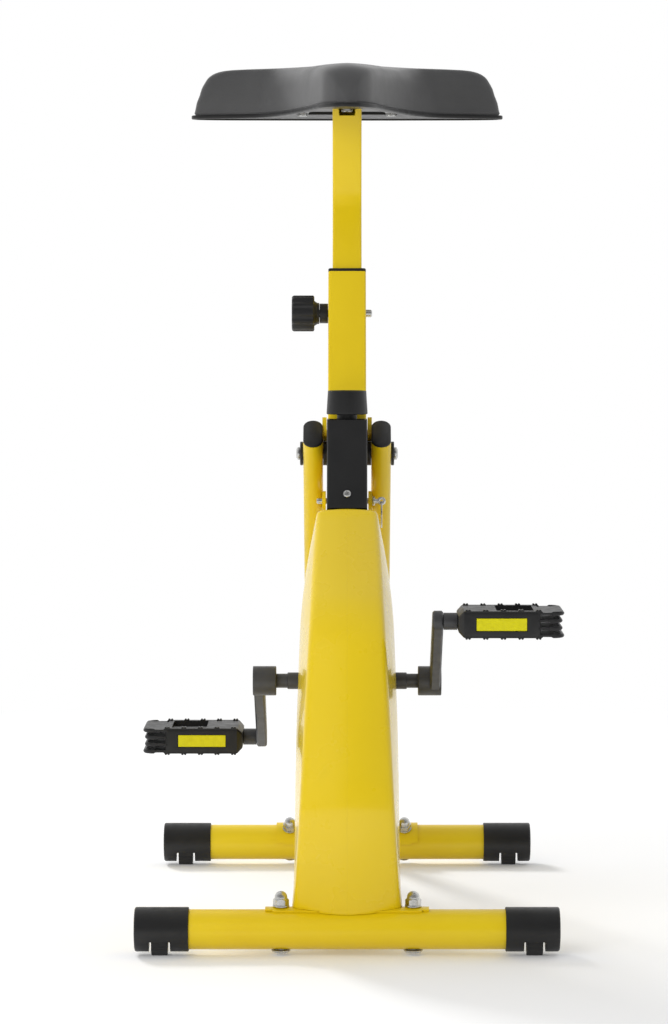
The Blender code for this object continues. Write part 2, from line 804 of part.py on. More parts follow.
def post_mesh(size, wall_in, extra):
    """The swept square bar of the post, inset by a wall for its bore, run on past both ends."""
    outline = rounded(size - 2 * wall_in, size - 2 * wall_in, 1.6 * MM, 1)
    stations = post_path()
    off, along, _ = stations[0]
    stations[0] = (off, along - extra, 0.0)
    off, along, tilt = stations[-1]
    reach = 0.13
    stations.append((off - reach * math.sin(tilt), along + reach * math.cos(tilt), tilt))
    rings = []
    for off, along, tilt in stations:
        rings.append(
            [(x, off + y * math.cos(tilt), along + y * math.sin(tilt)) for x, y in outline]
        )
    return skin_rings(bmesh.new(), rings)


def seat_plate():
    """The three-armed mounting plate under the saddle, as (x, y) points about the post's top."""
    rear = SEAT_BOLT_REAR
    wide = SEAT_BOLT_SIDE
    ear = SEAT_EAR
    half = []
    half += [(0.0, -SEAT_BOLT_FRONT - ear), (8.0 * MM, -SEAT_BOLT_FRONT - 0.8 * ear)]
    half += [(ear + 2 * MM, -SEAT_BOLT_FRONT), (POST_HALF + 4 * MM, -POST_HALF + 4 * MM)]
    half += [(wide, rear - ear - 3 * MM), (wide + 0.75 * ear, rear - 0.7 * ear)]
    half += [(wide + ear, rear), (wide + 0.7 * ear, rear + 0.7 * ear), (wide, rear + ear)]
    half += [(POST_HALF, rear + ear * 0.6), (0.0, rear + ear * 0.5)]
    return half + [(-x, y) for x, y in reversed(half[1:-1])]


def seat_bolt_places():
    """The three saddle bolts, as (x, y) in the world."""
    middle = post_axis_at(POST_TOP_Z)[0]
    return {
        "front": (0.0, middle - SEAT_BOLT_FRONT),
        "left": (-SEAT_BOLT_SIDE, middle + SEAT_BOLT_REAR),
        "right": (SEAT_BOLT_SIDE, middle + SEAT_BOLT_REAR),
    }


def seat_post(tube):
    """The square post with its ladder of pin holes and the welded saddle plate."""
    post = solid("seat_post", post_mesh(POST_SIZE, 0.0, 0.0), yellow_paint(), tube)
    cut(post, post_mesh(POST_SIZE, POST_WALL, 0.05), tube)
    middle = post_axis_at(POST_TOP_Z)[0]
    cut(post, block((-0.1, middle - 0.15, POST_TOP_Z - SEAT_GAP), (0.1, middle + 0.15, 1.0)))
    notch_at = (0.0, middle - SEAT_BOLT_FRONT, POST_TOP_Z)
    cut(post, rod_up(SEAT_NOTCH_R, notch_at, -SEAT_NOTCH, SEAT_GAP))
    outline = [(x, y + middle) for x, y in seat_plate()]
    join(post, beam(outline, POST_TOP_Z - 1.0 * MM, POST_TOP_Z + PLATE_WALL - 1.0 * MM))
    first = PIN_AT - (POST_HOLES - 1 - POST_DOWN_STEPS) * POST_PITCH
    for hole in range(POST_HOLES):
        cut(post, drill_across(HEIGHT_PIN_R, on_tube(first + hole * POST_PITCH)))
    for x, y in seat_bolt_places().values():
        cut(post, drill_up(SEAT_BOLT_R, (x, y, POST_TOP_Z), -2 * MM, PLATE_WALL + 2 * MM))
    return post


def saddle_outline(inset):
    """The saddle's plan as (x, y) points, drawn in by an inset, nose to tail and back."""
    nose = SADDLE_NOSE_Y - MIDDLE_Y
    side = [(x * SADDLE_WIDTH / 2, nose + y * SADDLE_LENGTH) for x, y in SADDLE_PLAN]
    whole = side + [(-x, y) for x, y in reversed(side[1:-1])]
    points = []
    for k, (x, y) in enumerate(whole):
        before = whole[k - 1]
        after = whole[(k + 1) % len(whole)]
        run = math.dist(before, after)
        points.append((x - inset * (after[1] - before[1]) / run, y + inset * (after[0] - before[0]) / run))
    return points


def saddle_pan():
    """The stiff base under the cushion: a lipped tray with a raised seat for the plate."""
    deck = POST_TOP_Z + PLATE_WALL - 1.0 * MM + SEAT_GAP
    lip = beam(saddle_outline(0.0), SADDLE_Z, SADDLE_Z + SADDLE_LIP)
    pan = solid("saddle_pan", lip, black_plastic())
    join(pan, beam(pan_bump(0.0), SADDLE_Z + 1.0 * MM, deck + 3.0 * MM))
    cut(pan, beam(saddle_outline(4.0 * MM), SADDLE_Z - 1.0 * MM, SADDLE_Z + SADDLE_LIP - 2.5 * MM))
    cut(pan, beam(pan_bump(2.0 * MM), SADDLE_Z - 1.0 * MM, deck))
    for x, y in seat_bolt_places().values():
        cut(pan, drill_up(SEAT_BOLT_R, (x, y, deck), -2 * MM, 5 * MM))
    return pan


def pan_bump(inset):
    """The plan of the pan's raised seat, round the mounting plate."""
    middle = post_axis_at(POST_TOP_Z)[0]
    bolts = middle + SEAT_BOLT_REAR
    wide = SEAT_BOLT_SIDE + 10.5 * MM - inset
    narrow = 29.0 * MM - inset
    front = middle - SEAT_BOLT_FRONT - 19.0 * MM + inset
    rear = bolts + 19.0 * MM - inset
    half = [
        (narrow * 0.6, front),
        (narrow, front + 8.0 * MM),
        (narrow + 9.0 * MM, middle + 20.0 * MM + inset),
        (wide - 6.5 * MM, bolts - 13.0 * MM + inset),
        (wide, bolts - 5.0 * MM + inset),
        (wide, rear - 8.0 * MM),
        (wide - 8.0 * MM, rear),
    ]
    return half + [(-x, y) for x, y in reversed(half)]


def saddle_height(share, across):
    """The cushion's top at a share of the length and a share of the half width."""
    body = SADDLE_TOP - SADDLE_Z - SADDLE_LIP
    nose_drop = 7.0 * MM * (1 - share) ** 2
    dip = 5.0 * MM * math.exp(-(((share - 0.5) / 0.16) ** 2))
    groove = 4.0 * MM * math.exp(-((across / 0.14) ** 2)) * max(0.0, min(1.0, (share - 0.45) / 0.3))
    ends = (1 - abs(2 * share - 1) ** 14) ** 0.5
    return (body - nose_drop - dip - groove) * max(0.0, ends)


def saddle_cushion():
    """The padded top: a crowned loft over the pan, nose to tail."""
    base = SADDLE_Z + SADDLE_LIP + SEAT_GAP
    nose = SADDLE_NOSE_Y - MIDDLE_Y
    across_steps = 14
    rings = []
    for half, y in saddle_outline(SADDLE_LIP_OUT)[1 : len(SADDLE_PLAN) - 1]:
        share = (y - nose) / SADDLE_LENGTH
        ring = [(half, y, base), (-half, y, base)]
        for j in range(across_steps + 1):
            angle = math.pi * (1 - j / across_steps)
            u = math.copysign(abs(math.cos(angle)) ** 0.55, math.cos(angle))
            up = abs(math.sin(angle)) ** 0.42
            draw = 1 - 0.07 * up**3
            ring.append((u * half * draw, y, base + 1.5 * MM + saddle_height(share, abs(u)) * up))
        rings.append(ring)
    cushion = solid("saddle_cushion", skin_rings(bmesh.new(), rings), saddle_skin(), smooth=60.0)
    top = POST_TOP_Z + PLATE_WALL + 3.0 * MM
    cut(cushion, beam(pan_bump(-1.0 * MM), SADDLE_Z - 1.0 * MM, top + 12.0 * MM))
    return cushion


def saddle_bolts():
    """Hex bolts up through the plate into the pan."""
    seat = POST_TOP_Z - 1.0 * MM - SEAT_GAP
    for hand, (x, y) in seat_bolt_places().items():
        top = POST_TOP_Z + PLATE_WALL + 8.0 * MM
        profile = [
            (seat - SEAT_BOLT_HEAD, 0.0),
            (seat - SEAT_BOLT_HEAD, SEAT_BOLT_HEAD_R * 0.7),
            (seat - SEAT_BOLT_HEAD * 0.6, SEAT_BOLT_HEAD_R),
            (seat, SEAT_BOLT_HEAD_R),
            (seat, SEAT_BOLT_R),
            (top, SEAT_BOLT_R),
            (top, 0.0),
        ]
        mesh = turned(profile, steps=10, axis="Z")
        bmesh.ops.translate(mesh, vec=(x, y, 0.0), verts=mesh.verts)
        solid("saddle_bolt_" + hand, mesh, zinc(), origin=(x, y, seat))


# Height pin


def height_pin():
    """The steel pin through tube and post, the sleeve it slides with, and its fluted knob."""
    place = on_tube(PIN_AT)
    sleeve_high = -TUBE_HALF - SEAT_GAP
    sleeve_low = sleeve_high - HEIGHT_COLLAR
    solid(
        "height_collar",
        pipe(sleeve_low, sleeve_high, HEIGHT_COLLAR_R, HEIGHT_PIN_R + SEAT_GAP, place, 16),
        black_plastic(),
        origin=(0.0, *place),
    )
    head_high = sleeve_low - SEAT_GAP
    knob = solid(
        "height_knob",
        turned(
            [
                (head_high, 0.0),
                (head_high, HEIGHT_COLLAR_R + 0.6 * MM),
                (head_high - KNOB_SHOULDER, KNOB_SHOULDER_R),
                (head_high - KNOB_SHOULDER - 1.0 * MM, KNOB_SHOULDER_R),
                (head_high - KNOB_SHOULDER - 1.0 * MM, 0.0),
            ],
            place,
        ),
        black_plastic(),
        origin=(0.0, *place),
    )
    outline = []
    for lobe in range(KNOB_LOBES):
        for share, depth in ((-0.3, 0.0), (0.3, 0.0), (0.42, 1.6 * MM), (0.58, 1.6 * MM)):
            angle = 2 * math.pi * (lobe + share) / KNOB_LOBES
            outline.append(shifted(place, rotate(angle, KNOB_R - depth)))
    far = head_high - KNOB_SHOULDER - KNOB_HEAD
    join(knob, plate(outline, far, head_high - KNOB_SHOULDER))
    bore_far = far + 6.0 * MM
    cut(knob, rod(bore_far, 0.0, HEIGHT_PIN_R + SEAT_GAP, place, 10))
    solid(
        "height_pin",
        turned(
            [
                (bore_far + SEAT_GAP, 0.0),
                (bore_far + SEAT_GAP, HEIGHT_PIN_R),
                (HEIGHT_PIN_END - 1.0 * MM, HEIGHT_PIN_R),
                (HEIGHT_PIN_END, HEIGHT_PIN_R - 1.0 * MM),
                (HEIGHT_PIN_END, 0.0),
            ],
            place,
            10,
        ),
        zinc(),
        origin=(0.0, *place),
    )


# Tension control


def tension_box(tube):
    """The cover on the tube's front: open towards the tube, with a hole for the dial's neck."""
    back = -TUBE_HALF - SEAT_GAP
    front = back - BOX_DEPTH

    def outline(inset, rear):
        """The cover's side outline, drawn in by an inset, up to this far before the tube's axis."""
        points = []
        for along, off in ((BOX_FOOT + inset, rear), (BOX_FOOT + inset, front + inset)):
            points.append(on_tube(along, off))
        top = BOX_TOP_Z - inset
        for off in (front + inset, rear):
            points.append(on_tube((top - TUBE_FOOT[1] + off * TUBE_DIR[0]) / TUBE_DIR[1], off))
        return points

    half = BOX_WIDTH / 2
    box = solid("tension_box", plate(outline(0.0, back), -half, half), black_plastic())
    bevelled(box, BOX_EDGE, 2)
    inside = half - BOX_WALL
    cut(box, plate(outline(BOX_WALL, 0.0), -inside, inside))
    neck = rod_up(DIAL_NECK_R + RUN_GAP, (0.0, *dial_place()), -0.02, 0.0)
    cut(box, neck)
    join(box, rod_back(4.5 * MM, BOX_SCREW_AT, front + BOX_WALL / 2, back - SEAT_GAP, 10), tube)
    cut(box, rod_back(SCREW_R + SEAT_GAP, BOX_SCREW_AT, front - 0.01, 0.0, DRILL), tube)
    x, off = cable_drop()
    cut(box, drill_up(CABLE_R + 1.0 * MM, (x, off, BOX_FOOT), -0.01, 0.01), tube)
    screw = [
        (front - SEAT_GAP - 2.4 * MM, 0.0),
        (front - SEAT_GAP - 2.4 * MM, SCREW_HEAD_R * 0.6),
        (front - SEAT_GAP - 1.2 * MM, SCREW_HEAD_R),
        (front - SEAT_GAP, SCREW_HEAD_R),
        (front - SEAT_GAP, SCREW_R),
        (back - SEAT_GAP, SCREW_R),
        (back - SEAT_GAP, 0.0),
    ]
    mesh = turned(screw, steps=12, axis="Y")
    bmesh.ops.translate(mesh, vec=(0.0, 0.0, BOX_SCREW_AT), verts=mesh.verts)
    solid("tension_box_screw", mesh, zinc(), tube, origin=(0.0, front, BOX_SCREW_AT))


def dial_place():
    """The dial's upright axis, at the height of its lower face, as world (Y, Z)."""
    return (DIAL_Y - MIDDLE_Y, DIAL_LOW_Z)


def rod_back(radius, along, low, high, steps):
    """A plain round bar square to the main tube, in the tube's space."""
    mesh = turned([(low, 0.0), (low, radius), (high, radius), (high, 0.0)], steps=steps, axis="Y")
    bmesh.ops.translate(mesh, vec=(0.0, 0.0, along), verts=mesh.verts)
    return mesh


def rod_up(radius, place, low, high):
    """A plain upright round bar, from low to high above the place."""
    mesh = turned([(low, 0.0), (low, radius), (high, radius), (high, 0.0)], axis="Z")
    bmesh.ops.translate(mesh, vec=place, verts=mesh.verts)
    return mesh


def cable_drop():
    """Where the cable runs down inside the box, in the tube's (x, off)."""
    return (-DIAL_DRUM_R - CABLE_R - SEAT_GAP, CABLE_OFF)


def tension_knob():
    """The tapered dial with its neck and the cable drum inside the box."""
    wall = BOX_TOP_Z - BOX_WALL - DIAL_LOW_Z
    flange = wall - SEAT_GAP - 2.0 * MM
    profile = [
        (flange - DIAL_DRUM, 0.0),
        (flange - DIAL_DRUM, DIAL_DRUM_R),
        (flange, DIAL_DRUM_R),
        (flange, DIAL_NECK_R),
        (0.0, DIAL_NECK_R),
        (0.0, DIAL_LOW_R - 0.6 * MM),
        (0.6 * MM, DIAL_LOW_R),
        (DIAL_HEIGHT - 1.2 * MM, DIAL_TOP_R),
        (DIAL_HEIGHT, DIAL_TOP_R - 1.2 * MM),
        (DIAL_HEIGHT, 0.0),
    ]
    mesh = turned(profile, axis="Z", steps=24)
    place = (0.0, *dial_place())
    bmesh.ops.translate(mesh, vec=place, verts=mesh.verts)
    return solid("tension_knob", mesh, black_plastic(), origin=place)


def smooth_curve(points, steps):
    """Points on a smooth curve through the given ones."""
    ends = [points[0]] + points + [points[-1]]
    found = []
    for a, b, c, d in zip(ends, ends[1:], ends[2:], ends[3:]):
        for k in range(steps):
            t = k / steps
            found.append(
                0.5
                * (2 * b + (c - a) * t + (2 * a - 5 * b + 4 * c - d) * t**2 + (3 * b - a - 3 * c + d) * t**3)
            )
    return found + [points[-1]]


def cord(name, points, radius, skin, parent=None, resolution=1):
    """A round wire along points, closed at its ends."""
    curve = bpy.data.curves.new(name, "CURVE")
    curve.dimensions = "3D"
    curve.bevel_depth = radius
    curve.bevel_resolution = resolution
    curve.use_fill_caps = True
    line = curve.splines.new("POLY")
    line.points.add(len(points) - 1)
    for spot, point in zip(line.points, points):
        spot.co = (*point, 1.0)
    curve.materials.append(skin)
    made = bpy.data.objects.new(name, curve)
    made.parent = parent
    bpy.context.scene.collection.objects.link(made)
    return made


def tension_cable(tube):
    """The cable from the dial's drum down to the magnet arm's free end."""
    x, off = cable_drop()
    end = arm_nipple()
    goal_off = (end[0] - FOOT[0]) * TUBE_BACK[0] + (end[1] - FOOT[1]) * TUBE_BACK[1]
    goal_along = (end[0] - FOOT[0]) * TUBE_DIR[0] + (end[1] - FOOT[1]) * TUBE_DIR[1]
    lane = sum(FLYWHEEL_X) / 2
    route = [
        Vector((x, off, BOX_FOOT + CABLE_RISE)),
        Vector((x, off, BOX_FOOT + CABLE_RISE / 2)),
        Vector((x, off, HOUSING_TOP - 12.0 * MM)),
        Vector((between(x, lane, 0.5), off, HOUSING_TOP - 60.0 * MM)),
        Vector((lane, goal_off, goal_along + 60.0 * MM)),
        Vector((lane, goal_off, goal_along + 0.6 * MM)),
    ]
    return cord("tension_cable", smooth_curve(route, 3), CABLE_R, rubber(), tube)


# Magnet brake


def arm_nipple():
    """The point above the magnet arm's free end, where the cable ends."""
    return shifted(FLYWHEEL, rotate(ARM_TO - 6.0 * DEG, arm_radius() + ARM_THICK / 2))


def magnet_arm():
    """The curved strip with its magnets, hinged behind the flywheel."""
    inner = arm_radius() - ARM_THICK / 2
    outer = arm_radius() + ARM_THICK / 2
    stud = magnet_stud()
    strip = arc_band(FLYWHEEL, inner, outer, ARM_FROM + 9.0 * DEG, ARM_TO, 8)
    arm = solid(
        "magnet_arm", plate(strip, FLYWHEEL_X[0], FLYWHEEL_X[1]), zinc(), origin=(0.0, *stud)
    )
    hub = rod(FLYWHEEL_X[0], FLYWHEEL_X[0] + 5.5 * MM, ARM_STUD_R + 3.2 * MM, stud, 12)
    join(arm, hub)
    web = arc_band(FLYWHEEL, inner, outer, ARM_FROM, ARM_FROM + 14.0 * DEG, 4)
    join(arm, plate(web, FLYWHEEL_X[0], FLYWHEEL_X[0] + 5.5 * MM))
    cut(arm, drill_across(ARM_STUD_R, stud))
    for k in range(4):
        start = ARM_FROM + (24.0 + 18.5 * k) * DEG
        magnet = arc_band(FLYWHEEL, inner - MAGNET_THICK, inner + 1.0 * MM, start, start + 12.0 * DEG, 1)
        join(arm, plate(magnet, FLYWHEEL_X[0] + 1.0 * MM, FLYWHEEL_X[1] - 1.0 * MM))
    return arm


def magnet_spring():
    """A torsion spring round the arm's stud."""
    stud = magnet_stud()
    start = FLYWHEEL_X[1] - 0.4 * MM
    pitch = 1.9 * MM
    per_turn = 8
    points = []
    for k in range(SPRING_TURNS * per_turn + 1):
        angle = 2 * math.pi * k / per_turn
        y, z = shifted(stud, rotate(angle, SPRING_R))
        points.append((start - pitch * k / per_turn, y, z))
    return cord("magnet_spring", points, SPRING_WIRE, zinc())


# Crank set


def bearing_cup(name, side):
    """A bearing cup seated in the bottom bracket shell."""
    outer = SHELL_R - SHELL_WALL - SEAT_GAP
    inner = AXLE_COLLAR_R + RUN_GAP
    return solid(
        name,
        pipe(side * (SHELL_HALF - 11.0 * MM), side * SHELL_HALF, outer, inner, CRANK, 16),
        dark_steel(),
        origin=(0.0, *CRANK),
    )


def crank_axle():
    """The axle with its collars, stepping down into the crank hubs."""
    end = HUB_OUTER - 4.0 * MM
    half = [
        (AXLE_COLLAR_END, AXLE_COLLAR_R),
        (AXLE_COLLAR_END, AXLE_R),
        (HUB_INNER + 1.0 * MM, AXLE_R),
        (end - 1.0 * MM, AXLE_R),
        (end, AXLE_R - 1.0 * MM),
    ]
    profile = [(-x, r) for x, r in reversed(half)] + half
    profile = [(-end, 0.0)] + profile + [(end, 0.0)]
    return solid("crank_axle", turned(profile, CRANK, 14), dark_steel(), origin=(0.0, *CRANK))


def pedal_centre(side):
    """The pedal spindle's place: the right crank points forward and up."""
    forward = -side * CRANK_LENGTH * math.cos(CRANK_ANGLE)
    return (CRANK[0] + forward, CRANK[1] + side * CRANK_LENGTH * math.sin(CRANK_ANGLE))


def crank_arm(name, side):
    """A forged arm tapering from the hub to the pedal's eye."""
    end = pedal_centre(side)
    low, high = sorted((side * ARM_INNER, side * ARM_OUTER))
    arm = solid(
        name,
        plate(hull(CRANK, HUB_R - 1.4 * MM, end, ARM_END_R, 6), low, high),
        dark_steel(),
        origin=(0.0, *CRANK),
    )
    bevelled(arm, 1.2 * MM, 1)
    low, high = sorted((side * HUB_INNER, side * HUB_OUTER))
    hub = turned(
        [(low, 0.0), (low, HUB_R - 1.0 * MM), (low + 1.0 * MM, HUB_R), (high - 1.0 * MM, HUB_R),
         (high, HUB_R - 1.0 * MM), (high, 0.0)],
        CRANK,
    )
    join(arm, hub)
    stop = HUB_OUTER - 4.0 * MM + SEAT_GAP
    low, high = sorted((side * (HUB_INNER - 0.01), side * stop))
    cut(arm, rod(low, high, AXLE_R + SEAT_GAP, CRANK))
    low, high = sorted((side * stop - side * 0.0005, side * (HUB_OUTER + 0.01)))
    cut(arm, rod(low, high, AXLE_R + 2.0 * MM, CRANK))
    low, high = sorted((side * (ARM_INNER - 0.01), side * (ARM_OUTER + 0.01)))
    cut(arm, rod(low, high, SPINDLE_R + SEAT_GAP, end, 12))
    return arm


def pedal_spindle(name, side):
    """The spindle with its wrench boss, threaded into the arm and running in the pedal."""
    place = pedal_centre(side)
    root = ARM_INNER + 1.0 * MM
    boss = ARM_OUTER + SEAT_GAP
    profile = [
        (root, 0.0),
        (root, SPINDLE_R),
        (boss, SPINDLE_R),
        (boss, SPINDLE_BOSS_R),
        (PEDAL_INNER - SEAT_GAP, SPINDLE_BOSS_R),
        (PEDAL_INNER - SEAT_GAP, SPINDLE_R),
        (PEDAL_INNER + PEDAL_WIDTH * 0.72, SPINDLE_R),
        (PEDAL_INNER + PEDAL_WIDTH * 0.72, 0.0),
    ]
    return solid(
        name, turned([(side * x, r) for x, r in profile], place, 14), dark_steel(), origin=(0.0, *place)
    )


def pedal(name, side):
    """The moulded pedal: a deck by the crank, two treaded rails, an open window and a finned end."""
    place = pedal_centre(side)
    inner = PEDAL_INNER
    outer = PEDAL_INNER + PEDAL_WIDTH
    fins_from = outer - FIN_LENGTH
    high = PEDAL_HEIGHT / 2
    front = PEDAL_DEPTH / 2

    def lies(mesh):
        """Moves a part modelled about the right-hand spindle to this pedal."""
        if side < 0:
            bmesh.ops.scale(mesh, vec=(-1.0, 1.0, 1.0), verts=mesh.verts)
        bmesh.ops.translate(mesh, vec=(0.0, *place), verts=mesh.verts)
        return mesh

    rings = []
    ends = [(inner, PEDAL_CHAMFER), (inner + PEDAL_CHAMFER, 0.0)]
    ends += [(fins_from, 0.0), (fins_from + 1.0 * MM, 1.0 * MM)]
    for x, drop in ends:
        outline = rounded(2 * (front - drop), 2 * (high - drop), 3.0 * MM, 1)
        rings.append([(x, y, z) for y, z in outline])
    body = solid(name, lies(skin_rings(bmesh.new(), rings)), black_plastic(), origin=(0.0, *place))
    rail = front - PEDAL_RAIL
    window = block((inner + PEDAL_DECK, -rail, -PEDAL_DEPTH), (fins_from - PEDAL_END, rail, PEDAL_DEPTH))
    cut(body, lies(window))
    barrel = rod(inner + PEDAL_DECK - 2.0 * MM, fins_from - 2.0 * MM, PEDAL_BARREL_R, (0.0, 0.0), 14)
    join(body, lies(barrel))
    for fin in range(FINS):
        join(body, lies(pedal_fin(fin, fins_from - 1.0 * MM, outer, front)))
    for facing in (-1, 1):
        join(body, lies(tread_strip(facing, 1, inner)))
        join(body, lies(tread_strip(facing, -1, inner)))
    length, height, depth = REFLECTOR
    start = inner + 16.6 * MM
    for facing in (-1, 1):
        near, far = sorted((facing * (front - depth - SEAT_GAP), facing * (front + 0.01)))
        pocket = block(
            (start - SEAT_GAP, near, -height / 2 - SEAT_GAP),
            (start + length + SEAT_GAP, far, height / 2 + SEAT_GAP),
        )
        cut(body, lies(pocket))
    bore_end = PEDAL_INNER + PEDAL_WIDTH * 0.72 + SEAT_GAP
    cut(body, lies(rod(inner - 0.01, bore_end, SPINDLE_R + RUN_GAP, (0.0, 0.0), 12)))
    for word, facing in (("front", -1), ("rear", 1)):
        low, far = sorted((facing * (front - depth), facing * (front - 0.4 * MM)))
        lens = block((start, low, -height / 2), (start + length, far, height / 2))
        solid(f"{name}_reflector_{word}", lies(lens), reflector_yellow(), origin=(0.0, *place))
    return body


def pedal_fin(fin, low, high, front):
    """One of the flat fins round the pedal's outer end, with a thicker rounded lip."""
    thin = 1.2 * MM
    lip = FIN_LIP
    pitch = (PEDAL_HEIGHT - 2 * lip) / (FINS - 1)
    z = -PEDAL_HEIGHT / 2 + lip + fin * pitch
    reach = high - (1.6 * MM if fin in (1, 2) else 0.0)
    section = [
        (low, z - thin),
        (reach - 5.0 * MM, z - thin),
        (reach - 3.0 * MM, z - lip),
        (reach, z - lip * 0.4),
        (reach, z + lip * 0.4),
        (reach - 3.0 * MM, z + lip),
        (reach - 5.0 * MM, z + thin),
        (low, z + thin),
    ]
    rings = []
    corner = 9.0 * MM
    stops = ((-front, corner), (-front + corner, 1.0 * MM), (front - corner, 1.0 * MM), (front, corner))
    for y, pull in stops:
        rings.append([(low + (x - low) * (1 - pull / (high - low)), y, z0) for x, z0 in section])
    return skin_rings(bmesh.new(), rings)


def tread_strip(facing, up, inner):
    """The row of double grip teeth on one long edge of the pedal."""
    high = PEDAL_HEIGHT / 2
    front = PEDAL_DEPTH / 2
    near, far = sorted((facing * (front - PEDAL_RAIL + 1.0 * MM), facing * (front - 2.6 * MM)))
    start = inner + TREAD_START
    root = up * (high - 1.0 * MM)
    low = up * (high + 0.2 * MM)
    top = up * (high + TREAD_HEIGHT)
    points = [(start - 0.6 * MM, root)]
    valley = up * (high + TREAD_HEIGHT * 0.4)
    for tooth in range(TREADS):
        x = start + tooth * TREAD_PITCH
        points += [(x, low), (x + TREAD_WIDTH * 0.2, top), (x + TREAD_WIDTH * 0.5, valley)]
        points += [(x + TREAD_WIDTH * 0.8, top), (x + TREAD_WIDTH, low)]
    points.append((start + (TREADS - 1) * TREAD_PITCH + TREAD_WIDTH + 0.6 * MM, root))
    return skin_rings(bmesh.new(), [[(x, y, z) for x, z in points] for y in (near, far)])


# Drive


def drive_pulley():
    """The large belt wheel with a grooved rim, a thin web and lightening holes."""
    low, high = BELT_X
    rim = 8.0 * MM
    web = 1.8 * MM
    middle = (low + high) / 2
    bore = AXLE_COLLAR_R + SEAT_GAP
    hub = bore + 8.0 * MM
    profile = [
        (low - 1.0 * MM, bore),
        (low - 1.0 * MM, hub),
        (middle - web, hub),
        (middle - web, PULLEY_R - rim),
        (low - 1.0 * MM, PULLEY_R - rim),
        (low - 1.0 * MM, PULLEY_R),
        (high + 1.0 * MM, PULLEY_R),
        (high + 1.0 * MM, PULLEY_R - rim),
        (middle + web, PULLEY_R - rim),
        (middle + web, hub),
        (high + 1.0 * MM, hub),
        (high + 1.0 * MM, bore),
    ]
    wheel = solid("drive_pulley", turned(profile, CRANK, 24), black_plastic(), origin=(0.0, *CRANK))
    for hole in range(4):
        centre = shifted(CRANK, rotate(hole * math.pi / 2, PULLEY_R * 0.54))
        cut(wheel, rod(low, high, PULLEY_R * 0.2, centre, 9))
    return wheel


def drive_belt():
    """The belt round both pulleys, just clear of their grooves."""
    steps = 18
    wrap = 2 * math.pi - 2 * math.acos((PULLEY_R - SMALL_PULLEY_R) / FLYWHEEL_BELOW)
    inner = SEAT_GAP + PULLEY_R * (1 / math.cos(wrap / steps / 2) - 1)
    mesh = bmesh.new()
    loops = []
    for x in BELT_X:
        for more in (inner, inner + BELT_THICK):
            outline = hull(CRANK, PULLEY_R + more, FLYWHEEL, SMALL_PULLEY_R + more, steps, 12)
            loops.append([(x, *point) for point in outline])
    skin_rings(mesh, [loops[0], loops[1], loops[3], loops[2]], loop=True)
    return solid("drive_belt", mesh, rubber())


def flywheel():
    """The cast wheel with a heavy rim, its shaft and the small pulley."""
    low, high = FLYWHEEL_X
    web = 2.0 * MM
    middle = (low + high) / 2
    belt_low, belt_high = BELT_X
    shaft = FLYWHEEL_AXLE_R
    profile = [
        (low, 0.0),
        (low, 18.0 * MM),
        (middle - web, 20.0 * MM),
        (middle - web, FLYWHEEL_R - FLYWHEEL_RIM),
        (low, FLYWHEEL_R - FLYWHEEL_RIM + 2.0 * MM),
        (low, FLYWHEEL_R),
        (high, FLYWHEEL_R),
        (high, FLYWHEEL_R - FLYWHEEL_RIM + 2.0 * MM),
        (middle + web, FLYWHEEL_R - FLYWHEEL_RIM),
        (middle + web, 14.0 * MM),
        (high, 12.0 * MM),
        (high, shaft),
        (belt_high + 3.0 * MM, shaft),
        (belt_high + 3.0 * MM, 0.0),
    ]
    wheel = solid("flywheel", turned(profile, FLYWHEEL, 24), cast_iron(), origin=(0.0, *FLYWHEEL))
    flange = SMALL_PULLEY_R + 1.6 * MM
    small = [
        (belt_low - 1.4 * MM, 0.0),
        (belt_low - 1.4 * MM, flange),
        (belt_low - 0.4 * MM, SMALL_PULLEY_R),
        (belt_high + 0.4 * MM, SMALL_PULLEY_R),
        (belt_high + 1.4 * MM, flange),
        (belt_high + 1.4 * MM, 0.0),
    ]
    join(wheel, turned(small, FLYWHEEL, 16))
    return wheel


# Fold


def leg_tube_mesh(side, wall_in, above, below):
    """A flat-oval tube in the leg's space, whose Z runs up the leg from the pivot."""
    width = LEG_THICK - 2 * wall_in
    depth = LEG_DEPTH - 2 * wall_in
    middle = side * (LEG_INNER + LEG_THICK / 2)
    return beam(rounded(width, depth, width * 0.49, 3), -below, above, (middle, 0.0))


def yoke_mesh(low, high):
    """The strap, bent round the back of the main tube, in the tube's space."""
    inner = TUBE_HALF + 1.4 * MM
    outer = LEG_INNER + 0.5 * MM
    reach = -16.0 * MM
    back = TUBE_HALF + SEAT_GAP
    bend = 3.5 * MM
    outside = [(outer, reach), (outer, back + YOKE_WALL - bend)]
    outside += [(outer - bend * 0.3, back + YOKE_WALL - bend * 0.3), (outer - bend, back + YOKE_WALL)]
    inside = [(inner, reach), (inner, back - 1.0 * MM)]
    inside += [(inner - 0.3 * MM, back - 0.3 * MM), (inner - 1.0 * MM, back)]
    outline = (
        outside
        + [(-x, y) for x, y in reversed(outside)]
        + [(-x, y) for x, y in inside]
        + list(reversed(inside))
    )
    return beam(outline, low, high)


def lock_angle(turn):
    """The side-plane direction this far round from straight down the tube, towards the rear."""
    return math.atan2(-TUBE_DIR[1], -TUBE_DIR[0]) + turn


